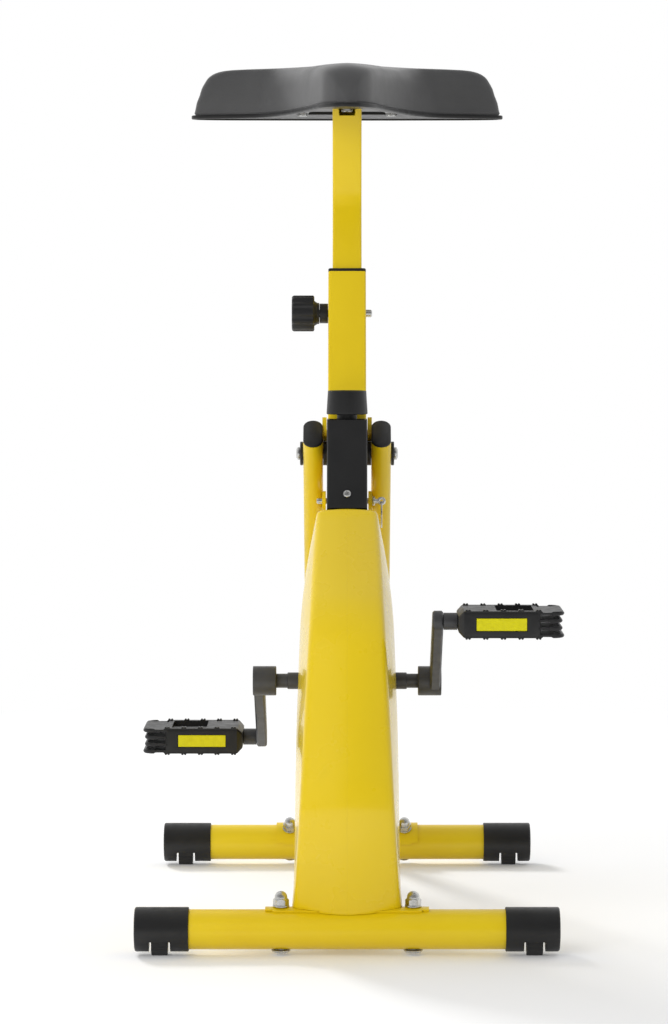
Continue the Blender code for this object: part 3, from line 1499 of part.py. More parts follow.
def rear_leg_frame(tube, leg):
    """The welded rear leg: two flat-oval tubes, the stop yoke, lock plates and foot bracket."""
    bottom = LEG_LENGTH - LEG_COPE
    frame = solid("rear_leg_frame", leg_tube_mesh(-1, 0.0, LEG_ABOVE, bottom), yellow_paint(), leg)
    join(frame, yoke_mesh(PIVOT_AT + YOKE_LOW, PIVOT_AT + YOKE_HIGH), tube)
    join(frame, leg_tube_mesh(1, 0.0, LEG_ABOVE, bottom), leg)
    half = BRACKET_HALF
    join(frame, plate(saddle_bracket(REAR, REAR_SPREAD, LEG_ANGLE), -half, half))
    for side in (-1, 1):
        cut(frame, leg_tube_mesh(side, LEG_WALL, LEG_ABOVE + 0.05, bottom - 20.0 * MM), leg)
        low, high = sorted((side * (LEG_INNER - LOCK_PLATE), side * (LEG_INNER + 0.5 * MM)))
        far = lock_angle(FOLD + 20.0 * DEG)
        sector = arc_slot(PIVOT, LOCK_REACH, LOCK_PLATE_HALF, lock_angle(0.0), far, 6)
        join(frame, plate(sector, low, high))
        slot = arc_slot(PIVOT, LOCK_REACH, LOCK_PIN_R + RUN_GAP, lock_angle(0.0), lock_angle(FOLD), 5)
        cut(frame, plate(slot, low - 0.002 if side > 0 else low - 0.001, high + 0.001))
        cut(frame, drill_up(BOLT_R, (side * BOLT_X, *REAR), 0.0, STAB_DIA, LEG_ANGLE))
    cut(frame, rod(-0.1, 0.1, PIVOT_BOLT_R + RUN_GAP, PIVOT, 16))
    cut(frame, rod(-CAP_REACH, CAP_REACH, STAB_DIA / 2 + SEAT_GAP, REAR))
    return frame


def leg_plug(name, side, leg):
    """The oval end plug: a domed flange with a shank inside the leg tube."""
    width = LEG_THICK
    middle = (side * (LEG_INNER + LEG_THICK / 2), 0.0)
    low = LEG_ABOVE + SEAT_GAP
    rings = []
    for z, inset in ((low, 0.0), (low + PLUG_FLANGE * 0.5, 0.0), (low + PLUG_FLANGE, 1.2 * MM)):
        outline = rounded(width - 2 * inset, LEG_DEPTH - 2 * inset, (width - 2 * inset) * 0.49, 3)
        rings.append([(x + middle[0], y, z) for x, y in outline])
    flange = skin_rings(bmesh.new(), rings)
    plug = solid(name, flange, black_plastic(), leg, origin=(middle[0], 0.0, low))
    inset = LEG_WALL + SEAT_GAP
    shank = rounded(width - 2 * inset, LEG_DEPTH - 2 * inset, (width - 2 * inset) * 0.49, 3)
    join(plug, beam(shank, low - 9.0 * MM, low + PLUG_FLANGE * 0.4, middle), leg)
    return plug


def pivot_parts():
    """The pivot bolt, the plain washers outside the legs and the spacers inside them."""
    tube_face = TUBE_HALF + SEAT_GAP
    leg_outer = LEG_INNER + LEG_THICK
    bore = PIVOT_BOLT_R + SEAT_GAP
    for hand, side in (("left", -1), ("right", 1)):
        spacer = (side * (tube_face + SEAT_GAP), side * (LEG_INNER - SEAT_GAP))
        washer = (side * (leg_outer + SEAT_GAP), side * (leg_outer + SEAT_GAP + WASHER))
        for word, ends in (("spacer", spacer), ("washer", washer)):
            ring = pipe(min(ends), max(ends), SPACER_R, bore, PIVOT, 12)
            solid(f"pivot_{word}_{hand}", ring, black_plastic(), origin=(0.0, *PIVOT))
    head = leg_outer + 2 * SEAT_GAP + WASHER
    half = [
        (head, PIVOT_BOLT_R),
        (head, PIVOT_HEAD_R),
        (head + PIVOT_HEAD * 0.6, PIVOT_HEAD_R),
        (head + PIVOT_HEAD, PIVOT_HEAD_R * 0.6),
    ]
    profile = [(-x, r) for x, r in reversed(half)] + half
    profile = [(-head - PIVOT_HEAD, 0.0)] + profile + [(head + PIVOT_HEAD, 0.0)]
    solid("pivot_bolt", turned(profile, PIVOT, 10), zinc(), origin=(0.0, *PIVOT))


def lock_pin():
    """The pull-out pin through the tube and both lock plates, with a ring in its eye."""
    place = on_tube(LOCK_AT)
    collar = LEG_INNER + 0.9 * MM
    profile = [
        (-LOCK_LEFT_END, 0.0),
        (-LOCK_LEFT_END, LOCK_PIN_R - 1.0 * MM),
        (-LOCK_LEFT_END + 1.5 * MM, LOCK_PIN_R),
        (collar, LOCK_PIN_R),
        (collar, LOCK_PIN_R + 1.6 * MM),
        (collar + 2.6 * MM, LOCK_PIN_R + 1.6 * MM),
        (collar + 2.6 * MM, LOCK_PIN_R - 0.6 * MM),
        (LOCK_EYE_X - LOCK_EYE_R + 0.5 * MM, LOCK_PIN_R - 0.6 * MM),
        (LOCK_EYE_X - LOCK_EYE_R * 0.7, LOCK_EYE_R * 0.72),
        (LOCK_EYE_X, LOCK_EYE_R),
        (LOCK_EYE_X + LOCK_EYE_R * 0.7, LOCK_EYE_R * 0.72),
        (LOCK_EYE_X + LOCK_EYE_R, 0.0),
    ]
    pin = solid("lock_pin", turned(profile, place, 10), zinc(), origin=(0.0, *place))
    wide = RING_WIRE * 2.2
    eye = turned([(-0.01, 0.0), (-0.01, wide), (0.01, wide), (0.01, 0.0)], steps=8, axis="Y")
    bmesh.ops.translate(eye, vec=(LOCK_EYE_X, *place), verts=eye.verts)
    cut(pin, eye)
    ring = bmesh.new()
    centre = (place[0], place[1] - RING_R)
    loops = []
    for k in range(20):
        spin = 2 * math.pi * k / 20
        loop = []
        for j in range(5):
            turn = 2 * math.pi * j / 5
            reach = RING_R + RING_WIRE * math.cos(turn)
            y, z = shifted(centre, rotate(spin, reach))
            loop.append((LOCK_EYE_X + RING_WIRE * math.sin(turn), y, z))
        loops.append(loop)
    skin_rings(ring, loops, loop=True)
    solid("lock_ring", ring, zinc(), origin=(LOCK_EYE_X, *place))


# Housing


def housing_half(z):
    """Half the width of the housing's front face at this height."""
    share = (z - TUBE_FOOT[1]) / (from_foot(HOUSING_TOP)[1] - TUBE_FOOT[1])
    return between(HOUSING_LOW_HALF, HOUSING_TOP_HALF, share)


def housing_swell(z):
    """How far the side bulges beyond the front face at this height."""
    low = FLYWHEEL[1] - FLYWHEEL_R
    middle = CRANK[1] + PULLEY_R * 0.35
    top = CRANK[1] + PULLEY_R * 1.62
    if z < middle:
        t = max(0.0, (z - low) / (middle - low))
        return HOUSING_SWELL * (0.28 + 0.72 * math.sin(t * math.pi / 2))
    t = min(1.0, (z - middle) / (top - middle))
    return HOUSING_SWELL * (1 - t**2.2)


def housing_section(front, rear, shrink, wall_in, crown, side):
    """Half of a level cut through the housing, from the front seam to the rear seam."""
    width = math.dist(front, rear)
    step = ((rear[0] - front[0]) / width, (rear[1] - front[1]) / width)
    half = housing_half(front[1]) - wall_in - shrink
    swell = housing_swell((front[1] + rear[1]) / 2)
    corner = HOUSING_CORNER
    rear_crown = HOUSING_REAR_CROWN
    far = width - wall_in
    spots = []
    for share in (0.0, 0.5, 0.82):
        spots.append((wall_in + crown * share**2, half * share))
    spots.append((wall_in + crown * 0.97, half - corner * 0.8))
    spots.append((wall_in + crown + corner * 0.2, half - corner * 0.25))
    start = wall_in + crown + corner * 0.8
    end = far - rear_crown - corner * 0.8
    for share in (0.0, 0.14, 0.5, 0.86, 1.0):
        spots.append((between(start, end, share), half + swell * (1 - abs(2 * share - 1) ** 2.4)))
    spots.append((far - rear_crown - corner * 0.2, half - corner * 0.25))
    spots.append((far - rear_crown * 0.97, half - corner * 0.8))
    for share in (0.5, 0.0):
        spots.append((far - rear_crown * share**2, half * share))
    return [
        (side * max(x, SEAM / 2), front[0] + step[0] * q, front[1] + step[1] * q) for q, x in spots
    ]


def housing_paths():
    """The housing's front and rear outlines, paired from the foot to the neck."""
    low_front = to_world(HOUSING_FOOT_FRONT)
    low_rear = to_world(HOUSING_FOOT_REAR)
    neck = HOUSING_TOP - HOUSING_TOP_ROUND
    circles = [(FLYWHEEL, HOUSING_FLYWHEEL_R), (CRANK, HOUSING_PULLEY_R)]
    front = chain([(low_front, 0.0)] + circles + [(on_tube(neck, HOUSING_TOP_FRONT), 0.0)], 1, 4)
    rear = chain([(low_rear, 0.0)] + circles + [(on_tube(neck, HOUSING_TOP_REAR), 0.0)], -1, 4)
    return front, rear


def housing_shell(name, side):
    """One moulded half of the housing, open below, roofed round the tube, cut for axle and tube."""
    front, rear = housing_paths()
    outer = []
    inner = []
    for a, b in zip(front, rear):
        crown = HOUSING_CROWN * housing_half(a[1]) / HOUSING_LOW_HALF
        outer.append(housing_section(a, b, 0.0, 0.0, crown, side))
        inner.append(housing_section(a, b, 0.0, HOUSING_WALL, crown, side))
    inset = HOUSING_TOP_ROUND
    a = on_tube(HOUSING_TOP, HOUSING_TOP_FRONT + inset)
    b = on_tube(HOUSING_TOP, HOUSING_TOP_REAR - inset * 0.6)
    crown = HOUSING_CROWN * housing_half(a[1]) / HOUSING_LOW_HALF
    outer.append(housing_section(a, b, inset * 0.8, 0.0, crown, side))
    mesh = bmesh.new()
    outer_verts = [[mesh.verts.new(point) for point in row] for row in outer]
    inner_verts = [[mesh.verts.new(point) for point in row] for row in inner]
    for rows in (outer_verts, inner_verts):
        for low, high in zip(rows, rows[1:]):
            for i in range(len(low) - 1):
                mesh.faces.new((low[i], low[i + 1], high[i + 1], high[i]))
    for edge in (0, -1):
        seam_out = [row[edge] for row in outer_verts]
        seam_in = [row[edge] for row in inner_verts]
        for k in range(len(seam_in) - 1):
            mesh.faces.new((seam_out[k], seam_out[k + 1], seam_in[k + 1], seam_in[k]))
    last = len(inner_verts) - 1
    foot_out = outer_verts[0]
    foot_in = inner_verts[0]
    for i in range(len(foot_out) - 1):
        mesh.faces.new((foot_out[i], foot_out[i + 1], foot_in[i + 1], foot_in[i]))
    mesh.faces.new(outer_verts[-1])
    mesh.faces.new(inner_verts[-1])
    mesh.faces.new((outer_verts[last][0], outer_verts[-1][0], outer_verts[-1][-1], outer_verts[last][-1],
                    inner_verts[last][-1], inner_verts[last][0]))
    shell = solid(name, mesh, yellow_shell(), smooth=30.0)
    cut(shell, rod(-0.1, 0.1, AXLE_COLLAR_R + 1.5 * MM, CRANK))
    cut(shell, plate(stabilizer_notch(), -0.1, 0.1))
    return shell


def stabilizer_notch():
    """The outline that clears the stabilizer and its bracket out of the housing's foot."""
    top = math.pi / 2
    spread = BRACKET_SPREAD + 3.0 * DEG
    low = STAB_DIA / 2 + 2 * RUN_GAP
    high = STAB_DIA / 2 + SEAT_GAP + BRACKET_WALL + RUN_GAP
    outline = arc(FRONT, high, top - spread, top + spread, 8)
    outline += arc(FRONT, low, top + spread, math.pi, 6)
    outline += [(FRONT[0] - low, 0.0), (FRONT[0] + low, 0.0)]
    outline += arc(FRONT, low, 0.0, top - spread, 6)
    return outline


def cut_housing_top(shell, tube):
    """Opens the roof for the main tube and the cable."""
    hole = TUBE_SIZE + 2 * SEAT_GAP
    cut(shell, beam(rounded(hole, hole, TUBE_EDGE, 2), HOUSING_TOP - 0.03, HOUSING_TOP + 0.03), tube)
    if shell.name.endswith("left"):
        x, off = cable_drop()
        cut(shell, drill_up(CABLE_R + 1.0 * MM, (x, off, HOUSING_TOP), -0.03, 0.03), tube)


# Assembly


def build():
    for item in list(bpy.data.objects):
        bpy.data.objects.remove(item, do_unlink=True)
    tube = empty("tube_axis", FOOT, -LEAN)
    leg = empty("leg_axis", PIVOT, LEG_ANGLE)
    inner = STAB_DIA / 2 + SEAT_GAP + BRACKET_WALL
    stabilizer_set("front", FRONT, 0.0, inner)
    stabilizer_set("rear", REAR, LEG_ANGLE, inner)
    main_frame(tube)
    post_bushing(tube)
    seat_post(tube)
    saddle_pan()
    saddle_cushion()
    saddle_bolts()
    height_pin()
    tension_box(tube)
    tension_knob()
    tension_cable(tube)
    magnet_arm()
    magnet_spring()
    for hand, side in (("left", -1), ("right", 1)):
        bearing_cup("bearing_cup_" + hand, side)
        crank_arm("crank_arm_" + hand, side)
        pedal_spindle("pedal_spindle_" + hand, side)
        pedal("pedal_" + hand, side)
        cut_housing_top(housing_shell("housing_" + hand, side), tube)
        leg_plug("leg_plug_" + hand, side, leg)
    crank_axle()
    drive_pulley()
    drive_belt()
    flywheel()
    rear_leg_frame(tube, leg)
    pivot_parts()
    lock_pin()


build()
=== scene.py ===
# %% [markdown]
# # A folding desk exercise bike
#
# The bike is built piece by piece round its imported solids: yellow tubes and mouldings, black
# plastic fittings, zinc fasteners and a padded saddle. The rider faces -Y, +Z is up, and left and
# right follow the picture. Lengths are in metres.

# %% Load the solids
import json
import math

import bmesh
import bpy
from mathutils import Matrix, Vector


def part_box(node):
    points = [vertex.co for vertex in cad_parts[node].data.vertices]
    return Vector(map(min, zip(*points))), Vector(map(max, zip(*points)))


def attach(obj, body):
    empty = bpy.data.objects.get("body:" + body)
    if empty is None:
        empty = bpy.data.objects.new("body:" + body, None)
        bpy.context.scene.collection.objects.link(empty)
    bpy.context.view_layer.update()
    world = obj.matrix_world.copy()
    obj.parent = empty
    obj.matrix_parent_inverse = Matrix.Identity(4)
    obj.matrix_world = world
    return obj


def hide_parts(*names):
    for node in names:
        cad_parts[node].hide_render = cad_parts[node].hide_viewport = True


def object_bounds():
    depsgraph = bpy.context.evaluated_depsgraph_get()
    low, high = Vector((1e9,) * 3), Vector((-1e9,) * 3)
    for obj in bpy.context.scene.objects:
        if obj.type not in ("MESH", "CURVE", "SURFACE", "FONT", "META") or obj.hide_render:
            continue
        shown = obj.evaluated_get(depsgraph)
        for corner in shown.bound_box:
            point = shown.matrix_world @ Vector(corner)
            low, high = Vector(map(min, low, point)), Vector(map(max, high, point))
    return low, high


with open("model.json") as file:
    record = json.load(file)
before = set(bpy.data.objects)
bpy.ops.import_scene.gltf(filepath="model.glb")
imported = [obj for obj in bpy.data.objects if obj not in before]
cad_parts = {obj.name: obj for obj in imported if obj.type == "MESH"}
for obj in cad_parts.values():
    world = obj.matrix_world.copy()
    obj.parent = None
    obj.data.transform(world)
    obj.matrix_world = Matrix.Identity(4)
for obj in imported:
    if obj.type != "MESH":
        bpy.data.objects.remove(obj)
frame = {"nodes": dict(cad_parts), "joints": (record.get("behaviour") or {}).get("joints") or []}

solid_low, solid_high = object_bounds()
MM = 0.001
DEG = math.pi / 180
print("solids", len(frame["nodes"]), "size", [round(v, 3) for v in solid_high - solid_low])

# %% [markdown]
# ## Where everything turns
#
# The joints already say where the crank, the pedals, the fold and the pins are. Reading them there
# keeps every detailed piece on the axis that it will move about.

# %% Places and directions


def joint(name):
    """The record's entry for one joint."""
    return next(entry for entry in frame["joints"] if entry["name"] == name)


def axis_place(name):
    """The joint's place, moved to the bike's middle plane."""
    spot = joint(name)["pos_m"]
    return Vector((0.0, spot[1], spot[2]))


def middle_of(node):
    low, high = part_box(node)
    return Vector((0.0, (low.y + high.y) / 2, (low.z + high.z) / 2))


FRONT = middle_of("front_stabilizer")
REAR = middle_of("rear_stabilizer")
PIVOT = axis_place("rear_leg_fold")
CRANK = axis_place("crank_spin")
FLYWHEEL = axis_place("flywheel_spin")
DIAL = axis_place("tension_knob_turn")
PIN = axis_place("height_knob_turn")
LOCK = axis_place("lock_ring_swing")
STUD = axis_place("magnet_arm_swing")
PEDALS = {side: axis_place(f"pedal_{side}_spin") for side in ("left", "right")}
UP_TUBE = Vector(joint("seat_height")["axis"]).normalized()
UP_LEG = (PIVOT - REAR).normalized()
ACROSS = Vector((1.0, 0.0, 0.0))
ORIGIN = Vector((0.0, 0.0, 0.0))
SIDES = (("left", -1), ("right", 1))


def space(origin, up):
    """A frame of reference: X across the bike, Z along the given direction."""
    return Matrix.Translation(origin) @ Matrix((ACROSS, up.cross(ACROSS), up)).transposed().to_4x4()


def sideways(place):
    """A frame whose Z runs across the bike, for pieces that turn about a cross axis."""
    turn = Matrix(((0.0, 0.0, 1.0), (1.0, 0.0, 0.0), (0.0, 1.0, 0.0)))
    return Matrix.Translation(place) @ turn.to_4x4()


def upright(place, tilt=0.0):
    """A frame that stands on a place, tilted back about X."""
    return Matrix.Translation(place) @ Matrix.Rotation(tilt, 4, "X")


def along(place, distance):
    """The frame moved along its own Z."""
    return place @ Matrix.Translation((0.0, 0.0, distance))


def on_tube(x, back, up):
    """A place given across, behind and up the main tube."""
    return TUBE @ Vector((x, back, up))


TUBE = space(PIVOT, UP_TUBE)
LEG = space(PIVOT, UP_LEG)
UPRIGHT = Matrix.Identity(4)
SIDEWAYS = sideways(ORIGIN)
LEG_ANGLE = math.atan2(-UP_LEG.y, UP_LEG.z)
print("leg leans", round(LEG_ANGLE / DEG, 1), "crank at", [round(v, 4) for v in CRANK])

# %% [markdown]
# ## Finishes
#
# Each finish follows one material slot of the record. All of them work in object space, so that
# grain and orange peel keep their real scale on every piece. Most of the detail is roughness and a
# fine bump, because on powder coat and moulded plastic that is what the eye reads.

# %% Finish helpers
FINISH = {}


def node(made, kind, **settings):
    new = made.node_tree.nodes.new(kind)
    for key, value in settings.items():
        setattr(new, key, value)
    return new


def noise(made, scale, detail=3.0, stretch=(1.0, 1.0, 1.0)):
    """Noise in object space: scale is in features per metre."""
    where = node(made, "ShaderNodeTexCoord")
    place = node(made, "ShaderNodeMapping")
    place.inputs["Scale"].default_value = stretch
    texture = node(made, "ShaderNodeTexNoise")
    texture.inputs["Scale"].default_value = scale
    texture.inputs["Detail"].default_value = detail
    made.node_tree.links.new(where.outputs["Object"], place.inputs["Vector"])
    made.node_tree.links.new(place.outputs["Vector"], texture.inputs["Vector"])
    return texture.outputs["Fac"]


def cells(made, scale, randomness=1.0, **settings):
    """Cells in object space: round for leather and cast skins, square for prisms."""
    where = node(made, "ShaderNodeTexCoord")
    texture = node(made, "ShaderNodeTexVoronoi", **settings)
    texture.inputs["Scale"].default_value = scale
    texture.inputs["Randomness"].default_value = randomness
    made.node_tree.links.new(where.outputs["Object"], texture.inputs["Vector"])
    return texture.outputs["Distance"]


def mapped(made, value, low, high, from_low=0.3, from_high=0.7):
    """Spreads a texture's values over a range."""
    ranged = node(made, "ShaderNodeMapRange")
    numbers = {"From Min": from_low, "From Max": from_high, "To Min": low, "To Max": high}
    for socket, number in numbers.items():
        ranged.inputs[socket].default_value = number
    made.node_tree.links.new(value, ranged.inputs["Value"])
    return ranged.outputs["Result"]


def tinted(made, surface, value, low, high):
    """Lets the base colour wander between two close shades."""
    ramp = node(made, "ShaderNodeValToRGB")
    for stop, position, colour in zip(ramp.color_ramp.elements, (0.3, 0.7), (low, high)):
        stop.position = position
        stop.color = (*colour, 1.0)
    made.node_tree.links.new(value, ramp.inputs["Fac"])
    made.node_tree.links.new(ramp.outputs["Color"], surface.inputs["Base Color"])


def bumped(made, surface, *layers):
    """Stacks bumps: each layer is a height, its strength and its depth in metres."""
    below = None
    for height, strength, depth in layers:
        bump = node(made, "ShaderNodeBump")
        bump.inputs["Strength"].default_value = strength
        bump.inputs["Distance"].default_value = depth
        made.node_tree.links.new(height, bump.inputs["Height"])
        if below:
            made.node_tree.links.new(below, bump.inputs["Normal"])
        below = bump.outputs["Normal"]
    made.node_tree.links.new(below, surface.inputs["Normal"])


def finish(name, colour, roughness, tint, wear=None, **sockets):
    """A finish whose colour wanders between two shades and whose roughness does between two values."""
    made = bpy.data.materials.new(name)
    made.use_nodes = True
    surface = made.node_tree.nodes["Principled BSDF"]
    surface.inputs["Base Color"].default_value = (*colour, 1.0)
    surface.inputs["Roughness"].default_value = roughness
    for socket, value in sockets.items():
        surface.inputs[socket.replace("_", " ")].default_value = value
    scale, low, high = tint
    tinted(made, surface, noise(made, scale), low, high)
    if wear:
        scale, low, high = wear
        rough = mapped(made, noise(made, scale), low, high)
        made.node_tree.links.new(rough, surface.inputs["Roughness"])
    FINISH[name] = made
    return made, surface


# %% [markdown]
# The frame is powder coated. The coat flows into an orange peel of about a millimetre, softer and
# a little rougher than the glossy moulded housing, whose skin only waves faintly. Both take the
# warm yellow of the picture, which leans to orange in thin places.

# %% Yellow finishes
YELLOW = (0.745, 0.535, 0.004)

paint = finish(
    "yellow_paint", YELLOW, 0.36, (9.0, (0.715, 0.500, 0.003), (0.765, 0.560, 0.006)), (60.0, 0.3, 0.42),
    Specular_IOR_Level=0.4, Coat_Weight=0.12, Coat_Roughness=0.14,
)
bumped(*paint, (noise(paint[0], 800.0, 1.0), 0.25, 0.1 * MM), (noise(paint[0], 90.0), 0.1, 0.2 * MM))

shell = finish(
    "yellow_shell", YELLOW, 0.26, (5.0, (0.725, 0.515, 0.003), (0.760, 0.550, 0.006)), (30.0, 0.24, 0.34),
    Specular_IOR_Level=0.35, Coat_Weight=0.4, Coat_Roughness=0.06,
)
bumped(*shell, (noise(shell[0], 30.0, 0.0), 0.06, 0.3 * MM), (noise(shell[0], 1500.0, 1.0), 0.08, 0.03 * MM))
print("yellow", [round(c, 3) for c in YELLOW])

# %% [markdown]
# The fittings are black plastic moulded in a spark-eroded tool, which leaves a fine even grain. The
# saddle's skin is a soft charcoal foam with a leather grain of about a millimetre and a slight
# sheen, worn smoother in broad patches.

# %% Plastic, skin and rubber
plastic = finish(
    "black_plastic", (0.014, 0.014, 0.0145), 0.42, (25.0, (0.008, 0.008, 0.0083), (0.013, 0.013, 0.0133)),
    (140.0, 0.36, 0.5), Specular_IOR_Level=0.42,
)
bumped(*plastic, (noise(plastic[0], 2400.0, 2.0), 0.35, 0.05 * MM))

skin = finish(
    "saddle_skin", (0.062, 0.062, 0.063), 0.46, (14.0, (0.052, 0.052, 0.053), (0.070, 0.070, 0.071)),
    (22.0, 0.42, 0.56), Sheen_Weight=0.15, Sheen_Roughness=0.4,
)
leather = cells(skin[0], 900.0, feature="SMOOTH_F1")
bumped(*skin, (leather, 0.35, 0.12 * MM), (noise(skin[0], 2600.0, 2.0), 0.2, 0.04 * MM))

rubber = finish(
    "belt_rubber", (0.012, 0.012, 0.012), 0.7, (60.0, (0.010, 0.010, 0.010), (0.016, 0.016, 0.016)),
)
bumped(*rubber, (noise(rubber[0], 1200.0), 0.3, 0.05 * MM))

# %% [markdown]
# The fasteners are bright zinc, with the faint cloud and fine drawn lines of plating. The cranks
# are forged steel under a satin dark coat. The flywheel is raw casting. The reflectors are clear
# yellow plastic with a grid of small prisms behind their face, which a fine square bump stands for.

# %% Metals and reflectors
zinc = finish(
    "zinc", (0.60, 0.60, 0.59), 0.28, (120.0, (0.52, 0.52, 0.51), (0.66, 0.66, 0.64)), (300.0, 0.2, 0.38),
    Metallic=1.0,
)
bumped(*zinc, (noise(zinc[0], 900.0, 2.0, (1.0, 1.0, 6.0)), 0.15, 0.03 * MM))

steel = finish(
    "dark_steel", (0.052, 0.052, 0.054), 0.42, (30.0, (0.045, 0.045, 0.047), (0.062, 0.062, 0.064)),
    (110.0, 0.34, 0.48), Metallic=0.3,
)
bumped(*steel, (noise(steel[0], 1100.0, 2.0), 0.25, 0.05 * MM))

iron = finish(
    "cast_iron", (0.09, 0.088, 0.085), 0.6, (45.0, (0.070, 0.068, 0.066), (0.120, 0.116, 0.110)), Metallic=0.8,
)
bumped(*iron, (cells(iron[0], 700.0), 0.5, 0.2 * MM), (noise(iron[0], 150.0), 0.3, 0.3 * MM))

glass = finish(
    "reflector_yellow", (0.60, 0.55, 0.003), 0.22, (200.0, (0.57, 0.52, 0.003), (0.64, 0.59, 0.005)),
    Specular_IOR_Level=0.15, Coat_Weight=0.15, Coat_Roughness=0.03,
)
bumped(*glass, (cells(glass[0], 420.0, 0.0, distance="CHEBYCHEV"), 0.5, 0.3 * MM))
print("finishes", sorted(FINISH))

# %% [markdown]
# ## Shaping tools
#
# Real parts come from a few processes, and the helpers follow them: turning on a lathe, extruding
# along a path, pressing a sheet, and cutting. Corners are rounded in the outlines themselves, so a
# lathe part needs no bevel afterwards.

# %% Outlines


def mm(*points):
    """Points whose numbers are millimetres, as on a drawing."""
    return [tuple(value * MM for value in point) for point in points]


def eased(points, radius, steps=3, loop=False):
    """Rounds the corners of a polyline of (x, y) points."""
    made = []
    for k, point in enumerate(points):
        if not loop and k in (0, len(points) - 1):
            made.append(tuple(point))
            continue
        here = Vector(point)
        before = Vector(points[k - 1]) - here
        after = Vector(points[(k + 1) % len(points)]) - here
        reach = min(radius, before.length * 0.45, after.length * 0.45)
        start = here + before.normalized() * reach
        end = here + after.normalized() * reach
        made += [bowed(start, here, end, j / steps) for j in range(steps + 1)]
    return made


def bowed(start, knee, end, t):
    """A point on the bend that runs from start to end and leans on the knee."""
    return tuple(start * (1 - t) ** 2 + knee * 2 * t * (1 - t) + end * t**2)


def rounded(width, depth, radius, steps=5):
    """A rectangle with round corners, centred."""
    points = []
    for corner in range(4):
        sign_x = 1 if corner in (0, 3) else -1
        sign_y = 1 if corner in (0, 1) else -1
        for k in range(steps + 1):
            angle = (corner + k / steps) * math.pi / 2
            x = sign_x * (width / 2 - radius) + radius * math.cos(angle)
            points.append((x, sign_y * (depth / 2 - radius) + radius * math.sin(angle)))
    return points


def arc(centre, radius, start, end, steps):
    """Points of an arc in the side plane, as (y, z), angles from +Y towards +Z."""
    found = []
    for k in range(steps + 1):
        angle = start + (end - start) * k / steps
        found.append((centre[0] + radius * math.cos(angle), centre[1] + radius * math.sin(angle)))
    return found


def band(centre, inner, outer, start, end, steps=24):
    """The outline of a piece of ring."""
    return arc(centre, outer, start, end, steps) + arc(centre, inner, end, start, steps)


def moved(points, by):
    return [(x + by[0], y + by[1]) for x, y in points]


def both_halves(half):
    """A right-hand outline and its mirror image, joined at the first and the last point."""
    return half + [(-x, y) for x, y in reversed(half[1:-1])]


def smooth_point(a, b, c, d, t):
    """A point between b and c on the smooth curve through four points."""
    near = 2 * b + (c - a) * t
    return 0.5 * (near + (2 * a - 5 * b + 4 * c - d) * t**2 + (3 * b - a - 3 * c + d) * t**3)


def hex_outline(across_flats):
    reach = across_flats / 2 / math.cos(math.pi / 6)
    return [(reach * math.cos(k * math.pi / 3), reach * math.sin(k * math.pi / 3)) for k in range(6)]


def flat(place):
    """A place in the side plane, as (y, z)."""
    return (place.y, place.z)


# %% Bodies
FAR = 0.1
THROUGH = 30 * MM


def skinned(rings):
    """A closed body whose skin runs through a row of rings."""
    made = bmesh.new()
    bmesh.ops.create_circle(made, cap_ends=True, segments=len(rings[0]), radius=1.0)
    face = made.faces[:][0]
    for number, ring in enumerate(rings):
        if number:
            grown = bmesh.ops.extrude_face_region(made, geom=[face])
            top = [part for part in grown["geom"] if isinstance(part, bmesh.types.BMFace)][0]
            if number > 1:
                bmesh.ops.delete(made, geom=[face], context="FACES_ONLY")
            face = top
        for vert, spot in zip(face.verts, ring):
            vert.co = spot
    bmesh.ops.recalc_face_normals(made, faces=made.faces)
    return made


def swept(outline, stations):
    """Draws a closed outline of (x, y) points through a row of frames."""
    return skinned([[station @ Vector((x, y, 0.0)) for x, y in outline] for station in stations])


def layered(layers):
    """Joins outlines of (y, z) points that lie one beside another across the bike."""
    return skinned([[Vector((x, y, z)) for y, z in outline] for x, outline in layers])


def beam(outline, low, high, place=UPRIGHT):
    """A straight extrusion along the frame's Z."""
    return swept(outline, [along(place, z) for z in (low, high)])


def plate(outline, low, high):
    """A side-plane outline of (y, z) points, pulled across the bike from low to high."""
    return beam(outline, low, high, SIDEWAYS)


def turned(profile, place, steps=64):
    """A lathe part: the profile is (along, radius), spun about the frame's Z."""
    made = bmesh.new()
    line = [made.verts.new((radius, 0.0, run)) for run, radius in profile]
    for a, b in zip(line, line[1:]):
        made.edges.new((a, b))
    bmesh.ops.spin(
        made, geom=made.verts[:] + made.edges[:], cent=(0.0, 0.0, 0.0), axis=(0.0, 0.0, 1.0),
        dvec=(0.0, 0.0, 0.0), angle=2 * math.pi, steps=steps, use_merge=True, use_duplicate=False,
    )
    bmesh.ops.remove_doubles(made, verts=made.verts, dist=1e-6)
    bmesh.ops.transform(made, matrix=place, verts=made.verts)
    bmesh.ops.recalc_face_normals(made, faces=made.faces)
    return made


def rod(radius, low, high, place, steps=48):
    return turned([(low, 0.0), (low, radius), (high, radius), (high, 0.0)], place, steps)


def drill(radius, place, steps=24, reach=THROUGH):
    """A cutter that goes right through, both ways along the frame's Z."""
    return rod(radius, -reach, reach, place, steps)


def pipe(outer, inner, low, high, place, edge=0.4 * MM, steps=64):
    """A ring with softened rims."""
    middle = (inner + outer) / 2
    profile = [(low, middle), (low, outer), (high, outer), (high, inner), (low, inner), (low, middle)]
    return turned(eased(profile, edge, 2), place, steps)


def block(low, high, place=UPRIGHT):
    made = bmesh.new()
    bmesh.ops.create_cube(made, size=1.0)
    size = Vector(high) - Vector(low)
    middle = (Vector(high) + Vector(low)) / 2
    fitted = place @ Matrix.Translation(middle) @ Matrix.Diagonal((*size, 1.0))
    bmesh.ops.transform(made, matrix=fitted, verts=made.verts)
    return made


